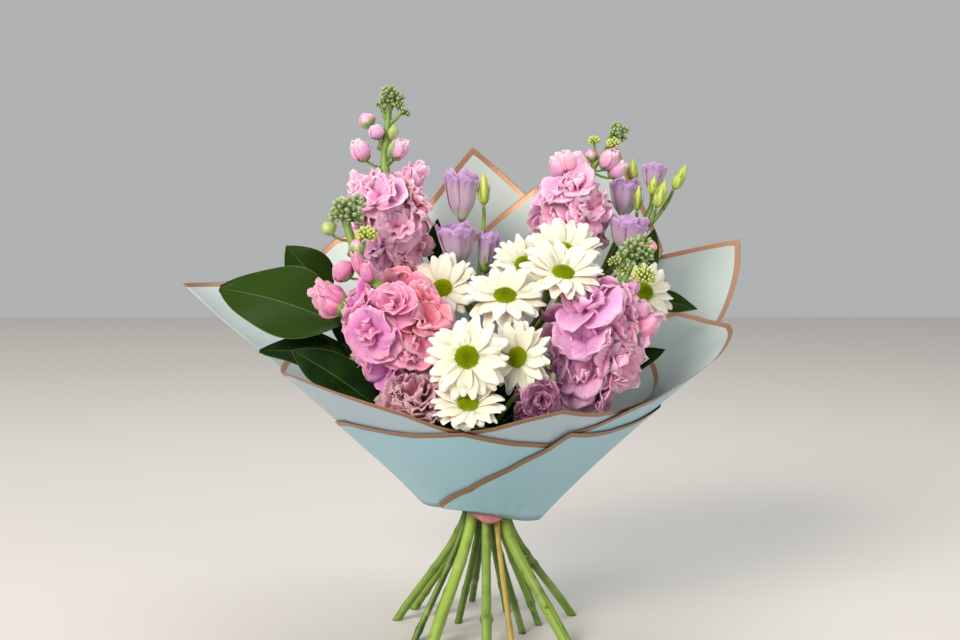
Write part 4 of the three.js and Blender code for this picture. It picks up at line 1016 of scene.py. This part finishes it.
# ---- film wrap
# The wrap is a flared cone of straight rulings. Angles are in degrees round the bundle: 0 right, 90
# back, 180 left, -90 front. Each sheet: its layer, how far its free end is drawn in, its rim as
# (angle, height) corners, and whether it is the paler film.
NECK_HALF_WIDTH, NECK_LEAN, NECK_HALF_DEPTH, NECK_HEIGHT, NECK_FALL, NECK_SAG = 47, 1, 23.9, 98.5, 6.6, 3.8
SIDE_SLOPE, SIDE_HOLLOW, HOLLOW_FADE, BACK_SLOPE, LAYER, LAYER_MIDDLE = 1.1, 0.15, 0.001, 0.36, 2.6, 0.55
FILM_THICKNESS = 0.25               # drawn thicker than real film, 0.06 mm, so that its edge shows
FILM_ROWS, FILM_COLUMN = 26, 1.25   # rows of a panel, and degrees between its rulings
EDGE_POINTS, LEVEL_LINES = 900, 80  # points that the rim is measured by, and a number of level lines
NEAR_FILM = 4                       # nearer than this to the inner front film, petals begin to give way
FILM_ROOM = 0.5                     # and this near to it they stop
SHEETS = {
    "wrap_front_inner": (0, 0.17, True, [
        (-195, 217), (-185, 212), (-175, 208), (-165, 213), (-158, 215), (-150, 211), (-134, 202),
        (-118, 191), (-108, 182), (-99, 177), (-87, 182), (-76, 189), (-65, 195), (-56, 191), (-48, 189),
        (-33, 190), (-12, 194), (8, 206), (25, 225)]),
    "wrap_front_outer": (1, 0, False, [
        (-190, 152), (-172, 170), (-156, 175), (-135, 174), (-119, 173), (-99, 177), (-88, 172), (-78, 168),
        (-60, 164)]),
    "wrap_right_inner": (1, 0, False, [
        (-55, 174), (-47, 178), (-40, 183), (-31, 192), (-26, 196), (-20, 206), (-10, 222), (10, 243),
        (17, 245), (26, 251), (35, 230)]),
    "wrap_front_right": (2, 0, False, [
        (-145, 106), (-105, 124), (-78, 144), (-64, 160), (-57, 174), (-49, 172), (-41, 171), (-34, 171),
        (-22, 175), (-10, 181), (10, 184), (30, 172)]),
    "wrap_left": (2, 0, True, [
        (105, 262), (120, 304), (130, 322), (138, 311), (143, 295), (153, 280), (164, 276), (175, 278)]),
    "wrap_right": (3, 0, False, [
        (5, 178), (15, 244), (25, 312), (30, 306), (36, 298), (50, 292), (65, 282)]),
    "wrap_back_peak": (1, 0, False, [(50, 306), (72, 349), (95, 393), (116, 340), (132, 283), (140, 254)]),
    "wrap_back_second": (0, 0, False, [
        (35, 301), (45, 357), (50, 392), (61, 369), (90, 322), (114, 293), (125, 276)]),
}


def smoothstep(low, high, x):
    t = np.clip((x - low) / (high - low), 0, 1)
    return t * t * (3 - 2 * t)


def wrap_point(angle, height, offset, inset):
    """A point on the wrap: the neck's ellipse, plus the flare's slope times the rise above the neck."""
    a = np.radians(angle)
    side = np.cos(a)
    neck = 1 / np.hypot(side / (NECK_HALF_WIDTH + NECK_LEAN * side), np.sin(a) / NECK_HALF_DEPTH)
    turn = np.mod(angle + 90, 360) - 90
    behind = smoothstep(5, 70, turn) * (1 - smoothstep(110, 172, turn))
    rise = height - NECK_HEIGHT
    flare = SIDE_SLOPE - side**2 * np.maximum(0, SIDE_HOLLOW - HOLLOW_FADE * rise)
    slope = flare + (BACK_SLOPE - flare) * behind
    drawn_in = inset * smoothstep(-45, 0, angle) * np.maximum(0, rise)
    # soft buckles that all the layers share, smaller at the neck
    buckle = 0.5 * np.sin(a * 9 + height * 0.02) * smoothstep(0, 60, rise)
    buckle = buckle + 0.35 * np.sin(a * 17 + height * 0.05)
    radius = neck + slope * rise - drawn_in + offset + buckle
    return np.stack([radius * np.cos(a), radius * np.sin(a), height + 0 * radius], -1)


def within_wrap(parts):
    """Moves what would pass the inner front film to lie inside it. Where a point is nearer to the film
    than n = NEAR_FILM, by d, its distance from the axis becomes the film's own less n exp(-d / n)."""
    _, inset, _, rim = SHEETS["wrap_front_inner"]
    corner, level = np.array(rim, float).T
    for part in parts:
        points = part["points"]
        angle = np.degrees(np.arctan2(points[:, 1], points[:, 0]))
        turn = np.where(angle > 90, angle - 360, angle)
        height = np.maximum(points[:, 2], NECK_HEIGHT)
        room = np.hypot(*wrap_point(turn, height, 0, inset)[:, :2].T) - FILM_ROOM
        reach = np.hypot(points[:, 0], points[:, 1])
        past = np.maximum(reach - room + NEAR_FILM, 0)
        held = np.where(past > 0, room - NEAR_FILM * np.exp(-past / NEAR_FILM), reach)
        below = 1 - smoothstep(0, 6, points[:, 2] - np.interp(turn, corner, level, left=250, right=250))
        points[:, :2] *= (1 + below * (held / np.maximum(reach, 1) - 1))[:, None]
    return parts


def film(name, layer, inset, pale, rim):
    """One panel: rulings from the neck to the rim, closer set near the rim. tint is the distance from
    the rim, in mm, that the border is drawn by."""
    corner, level = np.array(rim, float).T
    angle = np.unique(np.concatenate([np.arange(corner[0], corner[-1] + 0.01, FILM_COLUMN), corner]))
    out = layer * LAYER + LAYER_MIDDLE
    top = np.interp(angle, corner, level)
    side = np.cos(np.radians(angle))
    foot = np.minimum(NECK_HEIGHT - NECK_FALL * side - NECK_SAG * side**2, top - 1)
    t = 1 - (1 - np.linspace(0, 1, FILM_ROWS)) ** 1.7
    height = foot + (top - foot) * t[:, None]
    points = wrap_point(angle + 0 * height, height, out, inset)
    edge_angle = np.linspace(corner[0], corner[-1], EDGE_POINTS)
    edge = wrap_point(edge_angle, np.interp(edge_angle, corner, level), out, inset)
    from_rim = np.linalg.norm(points[:, :, None] - edge, axis=-1).min(-1)
    slot, material = ("film_pale", FILM_PALE) if pale else ("film_aqua", FILM_AQUA)
    panel = shells(points[None], FILM_THICKNESS, from_rim[None])
    made = piece(name + "_film", name, [panel], [material])


# ---- tie
TIE_RADIUS, TIE_WIDTH, TIE_TILT = 22.5, 11, -0.1
RIBBON_TURNS = 2
FOLD_DROP, FOLD_FLARE, FOLD_SPREAD = 8, 0.5, 0.6


def ribbon():
    """Satin ribbon wound twice round the bundle, each turn a little askew to the one below. In front its
    lower edge has slipped down the splaying stems, so that it drops and flares by a bell curve."""
    angle = np.linspace(0.5 * math.pi, TAU * RIBBON_TURNS + 0.5 * math.pi, 220)[None, :]
    across = np.linspace(-0.5, 0.5, 13)[:, None]
    turn = (angle - angle.min()) / TAU
    front = np.exp(-(((angle + 0.5 * math.pi + math.pi) % TAU - math.pi) / FOLD_SPREAD) ** 2)
    lower = (0.5 - across) ** 1.5
    drop = FOLD_DROP * front * lower
    crumple = 0.3 * np.sin(23 * angle + 5 * across) * lower
    radius = TIE_RADIUS + 0.3 * turn + 0.35 * np.cos(np.pi * across) + 0.15 * np.sin(11 * angle)
    radius = radius + FOLD_FLARE * drop + crumple
    z = across * TIE_WIDTH + 0.8 * np.sin(angle * 0.5) + 0.3 * np.sin(5 * angle + 4 * across) - drop
    x, y = radius * np.cos(angle), radius * np.sin(angle)
    leant = x * math.cos(TIE_TILT) + z * math.sin(TIE_TILT)
    points = np.stack([leant, y, TIE_HEIGHT + z + x * math.sin(TIE_TILT)], -1)
    made = piece("ribbon_tie_band", "ribbon_tie", [shells(points[None], 0.25, 0.5)], [RIBBON])


# ---- making
# what makes each table's pieces, and the seed of its first
for make, table, seed in ((stock, SPIKES, 11), (daisy, DAISIES, 31), (lisianthus, BELLS, 51),
                          (lisianthus_bud, BUDS, 61), (carnation, CARNATIONS, 71), (leaf, LEAVES, 81),
                          (stem, STEMS, 91)):
    for number, (name, row) in enumerate(table.items()):
        make(name, row, seed + number)
filler_leaves(7)
for name, row in SHEETS.items():
    film(name, *row)
ribbon()

# ---- stage, light and camera
bpy.ops.mesh.primitive_plane_add(size=6, location=(0, 0, 0))
floor = bpy.context.object
floor.name = "floor"
paint = Look("floor_painted_pale")
paint.surface.node.inputs["Base Color"].default_value = colour("cfcdc9")
paint.surface.node.inputs["Roughness"].default_value = 0.7
floor.data.materials.append(paint.material)

world = bpy.data.worlds.new("studio")
bpy.context.scene.world = world
world.use_nodes = True
sky = world.node_tree.nodes["Background"].inputs
sky["Color"].default_value = colour("d2d3d4")
sky["Strength"].default_value = 0.68
bpy.context.scene.view_settings.view_transform = "Standard"     # keeps the petals' colours as pure as seen


def soft_light(name, place, aim, size, watts, tone):
    """A square soft box that faces a point."""
    data = bpy.data.lights.new(name, "AREA")
    data.size, data.energy, data.color = size, watts, colour(tone)[:3]
    lamp = bpy.data.objects.new(name, data)
    across, out, up = axes(np.subtract(place, aim))
    turn = np.eye(4)
    turn[:3, 0], turn[:3, 1], turn[:3, 2], turn[:3, 3] = across, out, up, place
    lamp.matrix_world = Matrix(turn.tolist())
    bpy.context.scene.collection.objects.link(lamp)


soft_light("key", (-2.39, -3.12, 2.57), (0, 0, 0.25), 2.3, 235, "fff3e4")
soft_light("fill", (2.73, -2.6, 1.36), (0, 0, 0.25), 2.3, 39, "fff1e2")
soft_light("top", (0.1, 0.3, 1.7), (0, 0, 0.3), 1.2, 12, "ffffff")

# The camera of the photograph: its place in mm from the bundle's axis, pitch down and focal length.
CAMERA_PLACE = (-5, -1100, 344)
CAMERA_PITCH = math.radians(4.9)
FOCAL_PIXELS, FRAME_PIXELS, SENSOR = 1375, 960, 36
lens = bpy.data.cameras.new("camera")
lens.sensor_width = SENSOR
lens.lens = FOCAL_PIXELS / FRAME_PIXELS * SENSOR
camera = bpy.data.objects.new("camera", lens)
camera.location = placed(CAMERA_PLACE).tolist()
camera.rotation_euler = (math.pi / 2 - CAMERA_PITCH, 0, 0)
bpy.context.scene.collection.objects.link(camera)
bpy.context.scene.camera = camera

bpy.context.view_layer.update()
